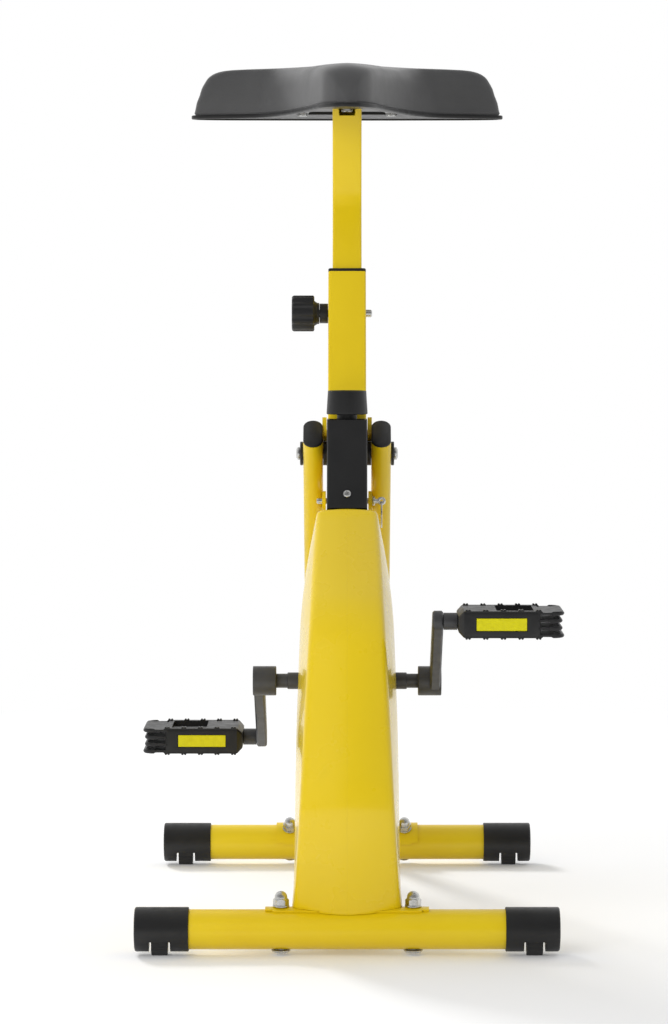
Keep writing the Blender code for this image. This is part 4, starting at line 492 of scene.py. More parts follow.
def surface_grid(rows):
    """An open sheet through rows of points, with doubled points joined."""
    made = bmesh.new()
    columns = len(rows[0])
    bmesh.ops.create_grid(made, x_segments=columns - 1, y_segments=len(rows) - 1, size=1.0)
    for index, vert in enumerate(made.verts):
        vert.co = rows[index // columns][index % columns]
    bmesh.ops.remove_doubles(made, verts=made.verts, dist=1e-6)
    bmesh.ops.recalc_face_normals(made, faces=made.faces)
    return made


def mirrored(made, side):
    """The shape as modelled for the right, or its mirror image on the left."""
    if side < 0:
        bmesh.ops.scale(made, vec=(-1.0, 1.0, 1.0), verts=made.verts)
        bmesh.ops.reverse_faces(made, faces=made.faces)
    return made


def shifted(made, by):
    bmesh.ops.translate(made, vec=by, verts=made.verts)
    return made


def together(*parts):
    """Several shapes as one piece."""
    whole = bmesh.new()
    for part in parts:
        mesh = bpy.data.meshes.new("part")
        part.to_mesh(mesh)
        whole.from_mesh(mesh)
        bpy.data.meshes.remove(mesh)
        part.free()
    return whole


def carved(made, *cutters, keep="DIFFERENCE", crossing=False):
    """The shape with each cutter taken out or joined on; crossing is for a wall that meets itself."""
    shapes = []
    for part in (made, *cutters):
        mesh = bpy.data.meshes.new("shape")
        part.to_mesh(mesh)
        part.free()
        shape = bpy.data.objects.new("shape", mesh)
        bpy.context.scene.collection.objects.link(shape)
        shapes.append(shape)
    for tool in shapes[1:]:
        cut = shapes[0].modifiers.new("cut", "BOOLEAN")
        cut.operation = keep
        cut.solver = "EXACT"
        cut.use_self = crossing
        cut.object = tool
    bpy.context.view_layer.update()
    seen = shapes[0].evaluated_get(bpy.context.evaluated_depsgraph_get())
    whole = bmesh.new()
    whole.from_mesh(seen.to_mesh())
    seen.to_mesh_clear()
    for shape in shapes:
        mesh = shape.data
        bpy.data.objects.remove(shape)
        bpy.data.meshes.remove(mesh)
    bmesh.ops.remove_doubles(whole, verts=whole.verts, dist=1e-6)
    return whole


# %% [markdown]
# A finished piece is shaded smooth across gentle bends and sharp across real edges. Edges that the
# outline could not round get a small bevel, because no real edge is perfectly sharp and the thin
# highlight on it is what makes a part look solid.

# %% Finished pieces
MADE = []


def piece(made, name, body, look, stands_for=(), soft=0.0, crease=32.0):
    """Turns a shape into a named piece on its body, in its finish."""
    bmesh.ops.recalc_face_normals(made, faces=made.faces)
    for face in made.faces:
        face.smooth = True
    for edge in made.edges:
        if len(edge.link_faces) == 2 and edge.calc_face_angle(0.0) > crease * DEG:
            edge.smooth = False
    mesh = bpy.data.meshes.new(name)
    made.to_mesh(mesh)
    made.free()
    mesh.materials.append(FINISH[look])
    shape = bpy.data.objects.new(name, mesh)
    bpy.context.scene.collection.objects.link(shape)
    if soft:
        bevel = shape.modifiers.new("soft_edge", "BEVEL")
        bevel.width = soft
        bevel.segments = 2
        bevel.limit_method = "ANGLE"
        bevel.angle_limit = crease * DEG
        bevel.harden_normals = True
    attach(shape, body)
    if stands_for:
        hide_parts(stands_for)
    MADE.append(shape)
    return shape


# %% [markdown]
# ## Stabilizers
#
# Two plain round tubes lie across the bike. Each is closed by moulded sleeves with a slightly
# crowned end, slotted below for an eccentric levelling disc. A bolt with a low head comes up
# through tube and bracket and ends in a cap nut, so no thread is left to catch a foot.

# %% Tubes and end caps
TUBE_R = 19.05 * MM
FIT = 0.3 * MM
TUBE_END = 165.0 * MM
CAP_R = 21.15 * MM
CAP_END = 202.8 * MM
CAP_FROM = 150.8 * MM
SLOT_TOP = 15.0 * MM
SLOT_HALF = 10.35 * MM
DISC_X = 178.6 * MM
DISC_HALF = 7.75 * MM
DISC_R = 14.5 * MM
DISC_DROP = 2.0 * MM
RIBS = 8
CLAMP_X = 63.0 * MM


def end_cap(word, place, axle, hand, side, body):
    inside = TUBE_R + FIT
    walls = [
        (TUBE_END + FIT, 0.0), (TUBE_END + FIT, inside), (CAP_FROM, inside), (CAP_FROM, CAP_R),
        (CAP_END - 1.7 * MM, CAP_R), (CAP_END - 0.5 * MM, CAP_R - 1.1 * MM),
        (CAP_END - 0.1 * MM, CAP_R - 5 * MM), (CAP_END, 0.0),
    ]
    sleeve = turned(eased(walls, 1.2 * MM, 3), sideways(place), 72)
    slot = block((DISC_X - SLOT_HALF, place.y - 0.05, -0.05), (DISC_X + SLOT_HALF, place.y + 0.05, SLOT_TOP))
    pocket = rod(16.9 * MM, DISC_X - 8.15 * MM, DISC_X + 8.15 * MM, sideways(axle))
    stubs = rod(3.4 * MM, DISC_X - 10.45 * MM, DISC_X + 10.45 * MM, sideways(axle), 24)
    cap = mirrored(carved(sleeve, slot, pocket, stubs), side)
    piece(cap, f"{word}_end_cap_{hand}", body, "black_plastic", f"{word}_cap_{hand}", 0.5 * MM)


def levelling_disc(word, axle, hand, side, body):
    """The foot that the bike stands on: an eccentric wheel with grip notches between flat ribs."""
    pitch = 2 * math.pi / RIBS
    flat_end = 0.3
    rim = [(share, DISC_R * math.cos(flat_end * pitch) / math.cos(share * pitch))
           for share in (-flat_end, -0.15, 0.0, 0.15, flat_end)]
    groove = ((0.37, 0.45), (0.44, 0.8), (0.56, 0.8), (0.63, 0.45))
    rim += [(share, DISC_R - depth * MM) for share, depth in groove]
    outline = []
    for rib in range(RIBS):
        for share, reach in rim:
            angle = (rib + share) * pitch - math.pi / 2
            outline.append((axle.y + reach * math.cos(angle), axle.z - DISC_DROP + reach * math.sin(angle)))
    wheel = plate(outline, DISC_X - DISC_HALF, DISC_X + DISC_HALF)
    stub_end = DISC_HALF + 2.4 * MM
    stubs = rod(3.0 * MM, DISC_X - stub_end, DISC_X + stub_end, sideways(axle), 24)
    disc = mirrored(together(wheel, stubs), side)
    piece(disc, f"{word}_foot_{hand}", body, "black_plastic", f"{word}_disc_{hand}", 0.5 * MM)


def clamp_bolt(word, place, hand, side, tilt, body):
    """A low round head below, a washer and a cap nut on top of the bracket."""
    stand = upright(Vector((side * CLAMP_X, place.y, place.z)), tilt)
    under = TUBE_R + FIT
    dome_r = 6.1 * MM
    dome_rise = 5.9 * MM
    low_head = [(-under - drop, radius) for drop, radius in mm(
        (0.0, 0.0), (0.0, 9.3), (1.0, 9.3), (2.6, 7.4), (3.4, 4.4), (3.4, 0.0))]
    washer_at = 21.85 * MM
    nut_at = washer_at + 1.6 * MM
    nut_end = washer_at + 9.0 * MM
    nut_profile = [(washer_at + rise, radius) for rise, radius in mm(
        (1.6, 0.0), (1.6, 7.7), (6.6, 7.7), (7.8, 6.5), (7.8, 0.0))]
    dome = [(nut_end - 2.2 * MM, 0.0), (nut_end - 2.2 * MM, dome_r + 0.1 * MM), (nut_end, dome_r)]
    for k in range(1, 9):
        angle = k * math.pi / 16
        dome.append((nut_end + dome_rise * math.sin(angle), dome_r * math.cos(angle)))
    bolt = together(
        turned(eased(low_head, 0.8 * MM, 3), stand, 48),
        pipe(8.0 * MM, 4.2 * MM, washer_at, nut_at, stand, 0.3 * MM),
        carved(turned(nut_profile, stand, 48), beam(hex_outline(13.6 * MM), washer_at, nut_end, stand),
               keep="INTERSECT"),
        turned(dome, stand, 48),
        rod(4.0 * MM, -under, washer_at + 3.0 * MM, stand, 24),
    )
    piece(bolt, f"{word}_clamp_bolt_{hand}", body, "zinc", f"{word}_bolt_{hand}", 0.25 * MM)


for word, place, tilt, body in (("front", FRONT, 0.0, "frame"), ("rear", REAR, LEG_ANGLE, "rear_leg")):
    rim_r = TUBE_R - 1.5 * MM
    ends = [(-TUBE_END, rim_r), (-TUBE_END, TUBE_R), (TUBE_END, TUBE_R), (TUBE_END, rim_r), (-TUBE_END, rim_r)]
    cross_tube = turned(eased(ends, 0.4 * MM, 2), sideways(place), 96)
    piece(cross_tube, f"{word}_cross_tube", body, "yellow_paint", f"{word}_stabilizer")
    for hand, side in SIDES:
        axle = axis_place(f"{word}_disc_{hand}_turn")
        end_cap(word, place, axle, hand, side, body)
        levelling_disc(word, axle, hand, side, f"{word}_disc_{hand}")
        clamp_bolt(word, place, hand, side, tilt, body)
print("stabilizer pieces", len(MADE))

# %% [markdown]
# ## Main frame
#
# One square tube leans back from the front stabilizer. A curved bracket spreads its load along the
# round tube, and short shells are welded through it for the crank, the flywheel and the fold. The
# tube's long edges are rolled to a small radius, which gives the two bright lines along it.

# %% Main tube, bracket and shells
SQUARE = 38.5 * MM
TUBE_HALF = SQUARE / 2
SQUARE_CORNER = 2.5 * MM
TOP = 196.5 * MM
FOOT_Z = 38.0 * MM
SHELL_END = 22.4 * MM


def square(width, corner, steps=5):
    return rounded(width, width, corner, steps)


def bracket(place, spread, tilt):
    """A curved plate lying on a stabilizer, with round corners."""
    inner, sheet, half, radius = TUBE_R + FIT, 2.2 * MM, 78.0 * MM, 7.0 * MM
    top = math.pi / 2 + tilt
    curved = plate(band((place.y, place.z), inner, inner + sheet, top - spread, top + spread), -half, half)
    bite = [(radius, 0.0)]
    for k in range(9):
        angle = k * math.pi / 16
        bite.append((radius - radius * math.sin(angle), radius - radius * math.cos(angle)))
    bite += [(-2 * MM, radius), (-2 * MM, -2 * MM), (radius, -2 * MM)]
    trims = []
    for side in (-1, 1):
        for turn in (-1, 1):
            stand = upright(Vector((0.0, place.y, place.z)), top + turn * spread - math.pi / 2)
            corner = [(side * (half - x), -turn * y) for x, y in bite]
            trims.append(beam(corner, inner - 3 * MM, inner + 8 * MM, stand))
    return carved(curved, *trims)


def main_tube():
    wide = TUBE_HALF * 1.2
    tube = beam(square(SQUARE, SQUARE_CORNER), -541.0 * MM, TOP, TUBE)
    bore = beam(square(SQUARE - 4 * MM, 1.5 * MM, 3), -640.0 * MM, TOP + 20 * MM, TUBE)
    floor_cut = block((-wide, FRONT.y - 0.2, -0.2), (wide, FRONT.y + 0.2, FOOT_Z))
    toe = block((-wide, FRONT.y - 0.11, -0.2), (wide, FRONT.y - 0.008, CRANK.z - 0.1))
    holes = [drill(4.0 * MM, sideways(PIN)), drill(3.1 * MM, sideways(LOCK))]
    tube = carved(tube, bore, floor_cut, toe, *holes)
    return carved(tube, drill(TUBE_R + FIT, sideways(FRONT), 64, FAR))


def magnet_finger():
    """The flat bar that carries the magnet arm's stud beside the tube."""
    tilt = -20 * DEG
    root = FLYWHEEL + Vector((0.0, math.cos(tilt), math.sin(tilt))) * 26 * MM
    outline = rounded((STUD - root).length + 24 * MM, 16 * MM, 7 * MM)
    place = sideways((STUD + root) / 2) @ Matrix.Rotation(tilt, 4, "Z")
    return beam(outline, -SHELL_END, -TUBE_HALF + 1 * MM, place)


shells = [
    pipe(20.0 * MM, 17.0 * MM, -SHELL_END, SHELL_END, sideways(CRANK)),
    pipe(13.0 * MM, 5.4 * MM, -SHELL_END, SHELL_END, sideways(FLYWHEEL)),
    pipe(10.5 * MM, 5.4 * MM, -TUBE_HALF - FIT, TUBE_HALF + FIT, sideways(PIVOT)),
]
stud = rod(3.0 * MM, -37.8 * MM, -TUBE_HALF, sideways(STUD), 24)
main = together(main_tube(), bracket(FRONT, 27 * DEG, 0.0), *shells, magnet_finger(), stud)
piece(main, "main_tube_welded", "frame", "yellow_paint", "main_frame", 0.3 * MM)
print("main tube and", len(shells), "shells")

# %% [markdown]
# A weld runs where the tube stands on its bracket. It is a small bead with ripples, painted over
# with the rest of the frame, so it reads as a soft line and not as bare metal.

# %% Weld beads
BEAD_REACH = TUBE_R + 2.4 * MM


def weld(points, radius):
    """A rippled bead along a line of points."""
    step = 2.2 * MM / 3
    spots = []
    for a, b in zip(points, points[1:]):
        steps = max(1, round((b - a).length / step))
        spots += [(a.lerp(b, k / steps), (b - a).normalized()) for k in range(steps)]
    spots.append((points[-1], (points[-1] - points[-2]).normalized()))
    stations = []
    for number, (spot, heading) in enumerate(spots):
        turn = heading.to_track_quat("Z", "Y").to_matrix().to_4x4()
        swell = 1.0 + 0.12 * math.cos(number * 2 * math.pi / 3)
        if number in (0, len(spots) - 1):
            swell = 0.4
        stations.append(Matrix.Translation(spot) @ turn @ Matrix.Scale(swell, 4))
    circle = [(radius * math.cos(k * math.pi / 4), radius * math.sin(k * math.pi / 4)) for k in range(8)]
    return swept(circle, stations)


beads = []
for side in (-1, 1):
    path = []
    for back in (-4.0, 2.0, 8.0, 14.0):
        spot = on_tube(side * (TUBE_HALF + 0.4 * MM), back * MM, 0.0)
        spot += UP_TUBE * ((FRONT.z + BEAD_REACH - spot.z) / UP_TUBE.z)
        rise = math.sqrt(max(0.0, BEAD_REACH**2 - (spot.y - FRONT.y) ** 2))
        path.append(Vector((spot.x, spot.y, FRONT.z + rise)))
    beads.append(weld(path, 1.6 * MM))
piece(together(*beads), "foot_weld", "frame", "yellow_paint")
print("beads at the foot", len(beads))

# %% [markdown]
# The seat post slides inside a plastic bushing whose collar shows as a thin black line. The post
# itself is a smaller square tube, bent by rolling so that its upper stretch leans forward, towards
# the rider's knees. A ladder of holes takes the height pin, and a pressed plate carries the saddle.

# %% Bushing and seat post
BEND = 47.8 * DEG
BEND_R = 45.0 * MM
BEND_AT = 291.0 * MM
POST = 29.8 * MM
POST_FOOT = 59.0 * MM
POST_TOP_Z = 821.5 * MM
HOLE_PITCH = 20 * MM
PIN_ALONG = UP_TUBE.dot(PIN - PIVOT)

bush = beam(square(SQUARE - 4.6 * MM, 1.25 * MM, 3), TOP - 80 * MM, TOP + 0.6 * MM, TUBE)
collar = beam(square(SQUARE, SQUARE_CORNER), TOP + FIT, TOP + 3.5 * MM, TUBE)
post_way = beam(square(POST + 0.6 * MM, 1.6 * MM, 3), TOP - 90 * MM, TOP + 20 * MM, TUBE)
sleeve = carved(carved(bush, collar, keep="UNION"), post_way, drill(4.0 * MM, sideways(PIN)))
piece(sleeve, "bushing_collar", "frame", "black_plastic", "post_bushing", 0.5 * MM)


def post_stations(extra):
    """Frames along the post: up the tube, round the bend and on to the saddle."""
    bend_from = BEND_AT - BEND_R * math.tan(BEND / 2)
    stations = [along(TUBE, POST_FOOT - extra)]
    for k in range(17):
        angle = BEND * k / 16
        off = -BEND_R + BEND_R * math.cos(angle)
        spot = Matrix.Translation((0.0, off, bend_from + BEND_R * math.sin(angle)))
        stations.append(TUBE @ spot @ Matrix.Rotation(angle, 4, "X"))
    return stations + [along(stations[-1], 130.0 * MM)]


knee = on_tube(0.0, 0.0, BEND_AT)
POST_Y = knee.y + (POST_TOP_Z - knee.z) * math.tan(math.atan2(UP_TUBE.y, UP_TUBE.z) - BEND)
NOSE_BOLT = -20 * MM
TAIL_BOLT = 62 * MM
BOLT_X = 46 * MM
BOLTS = {
    "front": (0.0, POST_Y + NOSE_BOLT),
    "left": (-BOLT_X, POST_Y + TAIL_BOLT),
    "right": (BOLT_X, POST_Y + TAIL_BOLT),
}


def bolt_places(z):
    return {word: upright(Vector((x, y, z))) for word, (x, y) in BOLTS.items()}


def plate_outline():
    """The three-armed saddle plate, about the post's top."""
    ear = 7.5 * MM
    half = [
        (0.0, NOSE_BOLT - ear), (8 * MM, NOSE_BOLT - 0.8 * ear), (ear + 2 * MM, NOSE_BOLT),
        (18.9 * MM, -10.9 * MM), (BOLT_X, TAIL_BOLT - ear - 3 * MM),
        (BOLT_X + 0.75 * ear, TAIL_BOLT - 0.7 * ear), (BOLT_X + ear, TAIL_BOLT),
        (BOLT_X + 0.7 * ear, TAIL_BOLT + 0.7 * ear), (BOLT_X, TAIL_BOLT + ear),
        (14.9 * MM, TAIL_BOLT + 0.6 * ear), (0.0, TAIL_BOLT + 0.5 * ear),
    ]
    return eased(both_halves(half), 4 * MM, 3, loop=True)


post = swept(square(POST, 2.2 * MM), post_stations(0.0))
hollow = swept(square(POST - 3.6 * MM, 1.2 * MM, 3), post_stations(30 * MM))
over = block((-FAR, POST_Y - 0.15, POST_TOP_Z - FIT), (FAR, POST_Y + 0.15, 1.0))
post = carved(post, hollow, over)
notch = rod(8.6 * MM, -9.0 * MM, FIT, upright(Vector((0.0, POST_Y - POST / 2, POST_TOP_Z))), 32)
ladder = [drill(3.9 * MM, sideways(on_tube(0.0, 0.0, PIN_ALONG + k * HOLE_PITCH))) for k in range(-4, 3)]
piece(carved(post, notch, *ladder), "seat_post_bent", "seat", "yellow_paint", "seat_post", 0.35 * MM)

# The plate is finished in dark steel so that the strip of it seen under the saddle's nose reads dark. That
# dark is partly the plate's own colour and partly painted shade, for there the plate lies in the saddle's
# shadow.
deck = beam(moved(plate_outline(), (0.0, POST_Y)), POST_TOP_Z - 1.0 * MM, POST_TOP_Z + 3.0 * MM)
deck = carved(deck, *(drill(4.2 * MM, spot, 24, 0.01) for spot in bolt_places(POST_TOP_Z).values()))
piece(deck, "saddle_plate", "seat", "dark_steel", (), 0.4 * MM)
print("post top at", round(POST_Y, 4), "holes", len(ladder))


def saddle_bolt(word, place):
    """A small flanged hex bolt, head down."""
    head_r = 6.5 * MM
    end = -4.5 * MM
    flange = eased([(-1.2 * MM, 0.0), (-1.2 * MM, head_r), (0.0, head_r), (0.0, 0.0)], 0.3 * MM, 2)
    head = [(0.0, 0.0), (0.0, head_r), (end + 1.0 * MM, head_r * 0.97), (end, head_r * 0.78), (end, 0.0)]
    prism = beam(hex_outline(10.0 * MM), end - 1 * MM, 1 * MM, place)
    bolt = together(
        turned(flange, place, 40),
        carved(turned(head, place, 40), prism, keep="INTERSECT"),
        rod(4.0 * MM, -1 * MM, 14.3 * MM, place, 24),
    )
    piece(bolt, f"saddle_hex_{word}", "seat", "zinc", f"saddle_bolt_{word}", 0.2 * MM)


for word, place in bolt_places(POST_TOP_Z - 1.3 * MM).items():
    saddle_bolt(word, place)

# %% [markdown]
# ## Rear leg
#
# The rear leg is a pair of flat-oval tubes on one pivot bolt. A strap bent round the back of the
# main tube stops the leg when it is open, and two slotted plates take the lock pin. In the picture
# the strap shows as two narrow yellow ears, and the plates as small tongues beside the black box.

# %% Leg tubes, strap and plates
LEG_INNER = 24.4 * MM
LEG_THICK = 19.6 * MM
LEG_DEPTH = 40.0 * MM
LEG_TOP = 24.5 * MM
LEG_MIDDLE = LEG_INNER + LEG_THICK / 2
LEG_LENGTH = (PIVOT - REAR).length
BOLT_WAY = 5.4 * MM
LOCK_REACH = 52.3 * MM
FOLD = 27 * DEG


def oval(inset=0.0, steps=10):
    width = LEG_THICK - 2 * inset
    return rounded(width, LEG_DEPTH - 2 * inset, width * 0.49, steps)


def lock_direction(turn):
    return math.atan2(-UP_TUBE.z, -UP_TUBE.y) + turn


def slot_outline(half, end):
    """A curved slot with round ends about the pivot, from the lock pin's place as far as end."""
    start = lock_direction(0.0)
    centre = flat(PIVOT)
    points = arc(centre, LOCK_REACH + half, start, end, 16)
    for angle, begin in ((end, end), (start, start + math.pi)):
        tip = (centre[0] + LOCK_REACH * math.cos(angle), centre[1] + LOCK_REACH * math.sin(angle))
        points += arc(tip, half, begin, begin + math.pi, 8)[1:-1]
        if angle == end:
            points += arc(centre, LOCK_REACH - half, end, start, 16)
    return points


def leg_tube(side):
    outer = beam(moved(oval(), (side * LEG_MIDDLE, 0.0)), -LEG_LENGTH + 2 * MM, LEG_TOP, LEG)
    inner = moved(oval(1.6 * MM), (side * LEG_MIDDLE, 0.0))
    hollow = beam(inner, -LEG_LENGTH - 0.05, LEG_TOP + 0.05, LEG)
    bolt_way = drill(BOLT_WAY, sideways(PIVOT), 32, FAR)
    cope = drill(TUBE_R + FIT, sideways(REAR), 64, FAR)
    return carved(outer, hollow, bolt_way, cope)


def strap():
    """The stop strap, bent from flat bar round the back of the main tube."""
    inner, outer, reach, back, bend = 20.65 * MM, 24.9 * MM, -16 * MM, 19.55 * MM, 3.5 * MM
    low, high, wall, corner = 13.2 * MM, 35 * MM, 3.6 * MM, 6 * MM
    rear = back + wall
    outside = [(outer, reach), (outer, rear - bend), (outer - bend * 0.3, rear - bend * 0.3),
               (outer - bend, rear)]
    inside = [(inner, reach), (inner, back - 1 * MM), (inner - 0.3 * MM, back - 0.3 * MM),
              (inner - 1 * MM, back)]
    outline = outside + [(-x, y) for x, y in reversed(outside)]
    outline += [(-x, y) for x, y in inside] + list(reversed(inside))
    trims = []
    for z, sign in ((low, 1), (high, -1)):
        past = z - sign * 1 * MM
        bite = [(reach - 1 * MM, past), (reach + corner, past), (reach + corner, z)]
        for k in range(1, 9):
            angle = k * math.pi / 16
            pull = corner - corner * math.cos(angle)
            bite.append((reach + corner - corner * math.sin(angle), z + sign * pull))
        bite.append((reach - 1 * MM, z + sign * corner))
        trims.append(beam(bite, -0.05, 0.05, TUBE @ SIDEWAYS))
    return carved(beam(outline, low, high, TUBE), *trims)


def lock_plate(side):
    low, high = sorted((side * (LEG_INNER - 3 * MM), side * (LEG_INNER + 0.5 * MM)))
    sector = plate(slot_outline(10 * MM, lock_direction(FOLD + 20 * DEG)), low, high)
    slot = plate(slot_outline(3.4 * MM, lock_direction(FOLD)), low - 2 * MM, high + 2 * MM)
    return carved(sector, slot)


def leg_bead(side):
    """The bead where an oval tube stands on the rear stabilizer."""
    ring = []
    for k in range(41):
        angle = 2 * math.pi * k / 40
        x = side * LEG_MIDDLE + (LEG_THICK / 2 + FIT) * math.sin(angle)
        y = (LEG_DEPTH / 2 + FIT) * math.copysign(abs(math.cos(angle)) ** 0.8, math.cos(angle))
        rise = math.sqrt(max(0.0, (TUBE_R + 2.6 * MM) ** 2 - y**2))
        ring.append(LEG @ Vector((x, y, -LEG_LENGTH + rise)))
    return weld(ring, 1.5 * MM)


leg_parts = [leg_tube(side) for _, side in SIDES] + [lock_plate(side) for _, side in SIDES]
leg = together(*leg_parts, strap(), bracket(REAR, 52 * DEG, LEG_ANGLE))
piece(leg, "rear_leg_welded", "rear_leg", "yellow_paint", "rear_leg_frame", 0.3 * MM)
piece(together(*(leg_bead(side) for _, side in SIDES)), "leg_weld", "rear_leg", "yellow_paint")
print("leg length", round(LEG_LENGTH, 4))

# %% [markdown]
# The open ends of the oval tubes are closed with domed plugs. On the pivot bolt, thick plastic
# washers keep the leg off the main tube inside and off the bolt heads outside.

# %% Plugs and pivot
for hand, side in SIDES:
    base = LEG @ Matrix.Translation((side * LEG_MIDDLE, 0.0, LEG_TOP + FIT))
    stations = []
    for rise, inset in mm((0.0, 0.0), (1.1, 0.0), (1.9, 0.35), (2.48, 1.3)):
        narrow = Matrix.Diagonal((1 - 2 * inset / LEG_THICK, 1 - 2 * inset / LEG_DEPTH, 1.0, 1.0))
        stations.append(along(base, rise) @ narrow)
    plug = together(swept(oval(), stations), beam(oval(1.9 * MM, 6), -9 * MM, 0.8 * MM, base))
    piece(plug, f"oval_plug_{hand}", "rear_leg", "black_plastic", f"leg_plug_{hand}", 0.2 * MM)
    for word, low, high, edge in (("spacer", 19.85, 24.1, 0.5), ("washer", 44.3, 47.3, 0.8)):
        ring = mirrored(pipe(12 * MM, 5.3 * MM, low * MM, high * MM, sideways(PIVOT), edge * MM), side)
        piece(ring, f"pivot_{word}_ring_{hand}", "frame", "black_plastic", f"pivot_{word}_{hand}")

head_at = 47.6 * MM
head = [(head_at + rise, radius) for rise, radius in mm(
    (0.0, 5.0), (0.0, 6.5), (2.0, 6.5), (3.5, 4.2), (3.5, 2.4), (2.4, 2.1), (2.4, 0.0))]
head = eased(head, 0.6 * MM, 3)
both_heads = [(-run, radius) for run, radius in reversed(head)] + head
piece(turned(both_heads, sideways(PIVOT), 48), "pivot_through_bolt", "frame", "zinc", "pivot_bolt")
print("pieces so far", len(MADE))

# %% [markdown]
# The lock pin is a pull-out pin with a flattened eye and a split ring, so that a finger can draw it.
# The ring hangs from the eye under its own weight, which puts its wire against the eye's lower edge.

# %% Lock pin and ring
EYE_X = 34.5 * MM
RING_R = 12.9 * MM
RING_TURNS = 2

pin_profile = eased(mm((-30.5, 0.0), (-30.5, 2.0), (-29.0, 3.0), (25.3, 3.0), (25.3, 4.6), (27.9, 4.6),
                       (27.9, 2.4), (32.0, 2.4), (32.6, 0.0)), 0.3 * MM, 2)
eye_profile = eased(mm((-1.9, 1.5), (-1.9, 4.2), (1.9, 4.2), (1.9, 1.5), (-1.9, 1.5)), 0.6 * MM, 3)
eye_place = upright(Vector((EYE_X, LOCK.y, LOCK.z)), 90 * DEG)
lock_pin = together(turned(pin_profile, sideways(LOCK), 40), turned(eye_profile, eye_place, 40))
piece(lock_pin, "lock_pull_pin", "lock_pin", "zinc", "lock_pin")

ring_middle = Vector((EYE_X, LOCK.y, LOCK.z - 13.5 * MM))
stations = []
for k in range(129):
    share = k / 128
    angle = math.pi / 2 + 2 * math.pi * RING_TURNS * share
    spread = (share - 0.5) * 1.0 * MM
    spot = ring_middle + Vector((spread, RING_R * math.cos(angle), RING_R * math.sin(angle)))
    stations.append(space(spot, Vector((0.0, -math.sin(angle), math.cos(angle)))))
wire = mm(*((0.48 * math.cos(k * math.pi / 5), 0.6 * math.sin(k * math.pi / 5)) for k in range(10)))
piece(swept(wire, stations), "lock_split_ring", "lock_ring", "zinc", "lock_ring", 0.0, 50.0)
print("ring turns", RING_TURNS)

# %% [markdown]
# ## Tension box and knobs
#
# A moulded box hugs the tube and holds the cable's slide. Its knob turns upright on top: a smooth
# drum, slightly wider below, wide enough for a whole hand. The box is made as a shell with rounded
# edges, and a cross-head screw holds its front.

# %% Box and screw
BOX_LOW = -85.8 * MM
BOX_TOP_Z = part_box("tension_box")[1].z
BOX_WIDTH = 40 * MM
BOX_FRONT = -58.95 * MM
BOX_BACK = -19.55 * MM


def tension_box():
    deep = BOX_BACK - BOX_FRONT
    middle = (BOX_FRONT + BOX_BACK) / 2
    outline = moved(rounded(BOX_WIDTH, deep, 2.6 * MM, 4), (0.0, middle))
    inner = moved(rounded(BOX_WIDTH - 4.4 * MM, deep - 2.2 * MM, 1.2 * MM, 3), (0.0, middle + 1.1 * MM))
    cutters = [
        beam(inner, BOX_LOW - 2 * MM, 22 * MM, TUBE),
        block((-FAR, DIAL.y - 0.2, BOX_TOP_Z), (FAR, DIAL.y + 0.2, BOX_TOP_Z + 0.2)),
        rod(10.4 * MM, -0.02, 0.01, upright(Vector((0.0, DIAL.y, BOX_TOP_Z)))),
        beam(square(SQUARE + 0.6 * MM, SQUARE_CORNER), -0.15, FAR, TUBE),
    ]
    return carved(beam(outline, BOX_LOW, 60 * MM, TUBE), *cutters)


piece(tension_box(), "tension_housing", "frame", "black_plastic", "tension_box", 0.7 * MM)

screw_place = TUBE @ upright(Vector((0.0, BOX_FRONT, BOX_LOW + 15 * MM)), 90 * DEG)
dome = mm((0.3, 0.0), (0.3, 3.9), (0.6, 4.0))
for k in range(1, 7):
    angle = k * math.pi / 12
    dome.append(((0.6 + 2.0 * math.sin(angle)) * MM, 4.0 * MM * math.cos(angle)))
cross = []
for wide, deep in mm((1.9, 0.45), (0.45, 1.9)):
    turn = screw_place @ Matrix.Rotation(20 * DEG, 4, "Z")
    cross.append(block((-wide, -deep, 1.3 * MM), (wide, deep, 6 * MM), turn))
screw = carved(turned(dome, screw_place, 40), *cross)
piece(screw, "tension_cross_screw", "frame", "zinc", "tension_box_screw", 0.12 * MM)
print("box top", round(BOX_TOP_Z, 4))

# %% Tension knob
knob = mm((-22.6, 0.0), (-22.6, 8.0), (-9.6, 8.0), (-9.6, 10.0), (0.0, 10.0), (0.0, 20.5), (2.2, 20.5),
          (23.6, 19.2), (23.6, 16.6), (23.0, 16.0), (23.0, 0.0))
piece(turned(eased(knob, 1.0 * MM, 4), upright(DIAL), 96), "tension_dial", "tension_knob", "black_plastic",
      "tension_knob")
print("knob at", [round(v, 4) for v in DIAL])

# %% [markdown]
# The height knob is a fluted plastic head on a turned shoulder. Its steel pin goes right through the
# tube, and its tip shows on the other side. The flutes are deep enough to read as dark lines.

# %% Height knob, collar and pin
FLUTES = 12
KNOB_R = 17.6 * MM

stem = sideways(PIN)
sleeve = pipe(10.1 * MM, 4.2 * MM, -28.15 * MM, -19.55 * MM, stem, 0.5 * MM)
piece(sleeve, "height_knob_sleeve", "frame", "black_plastic", "height_collar")

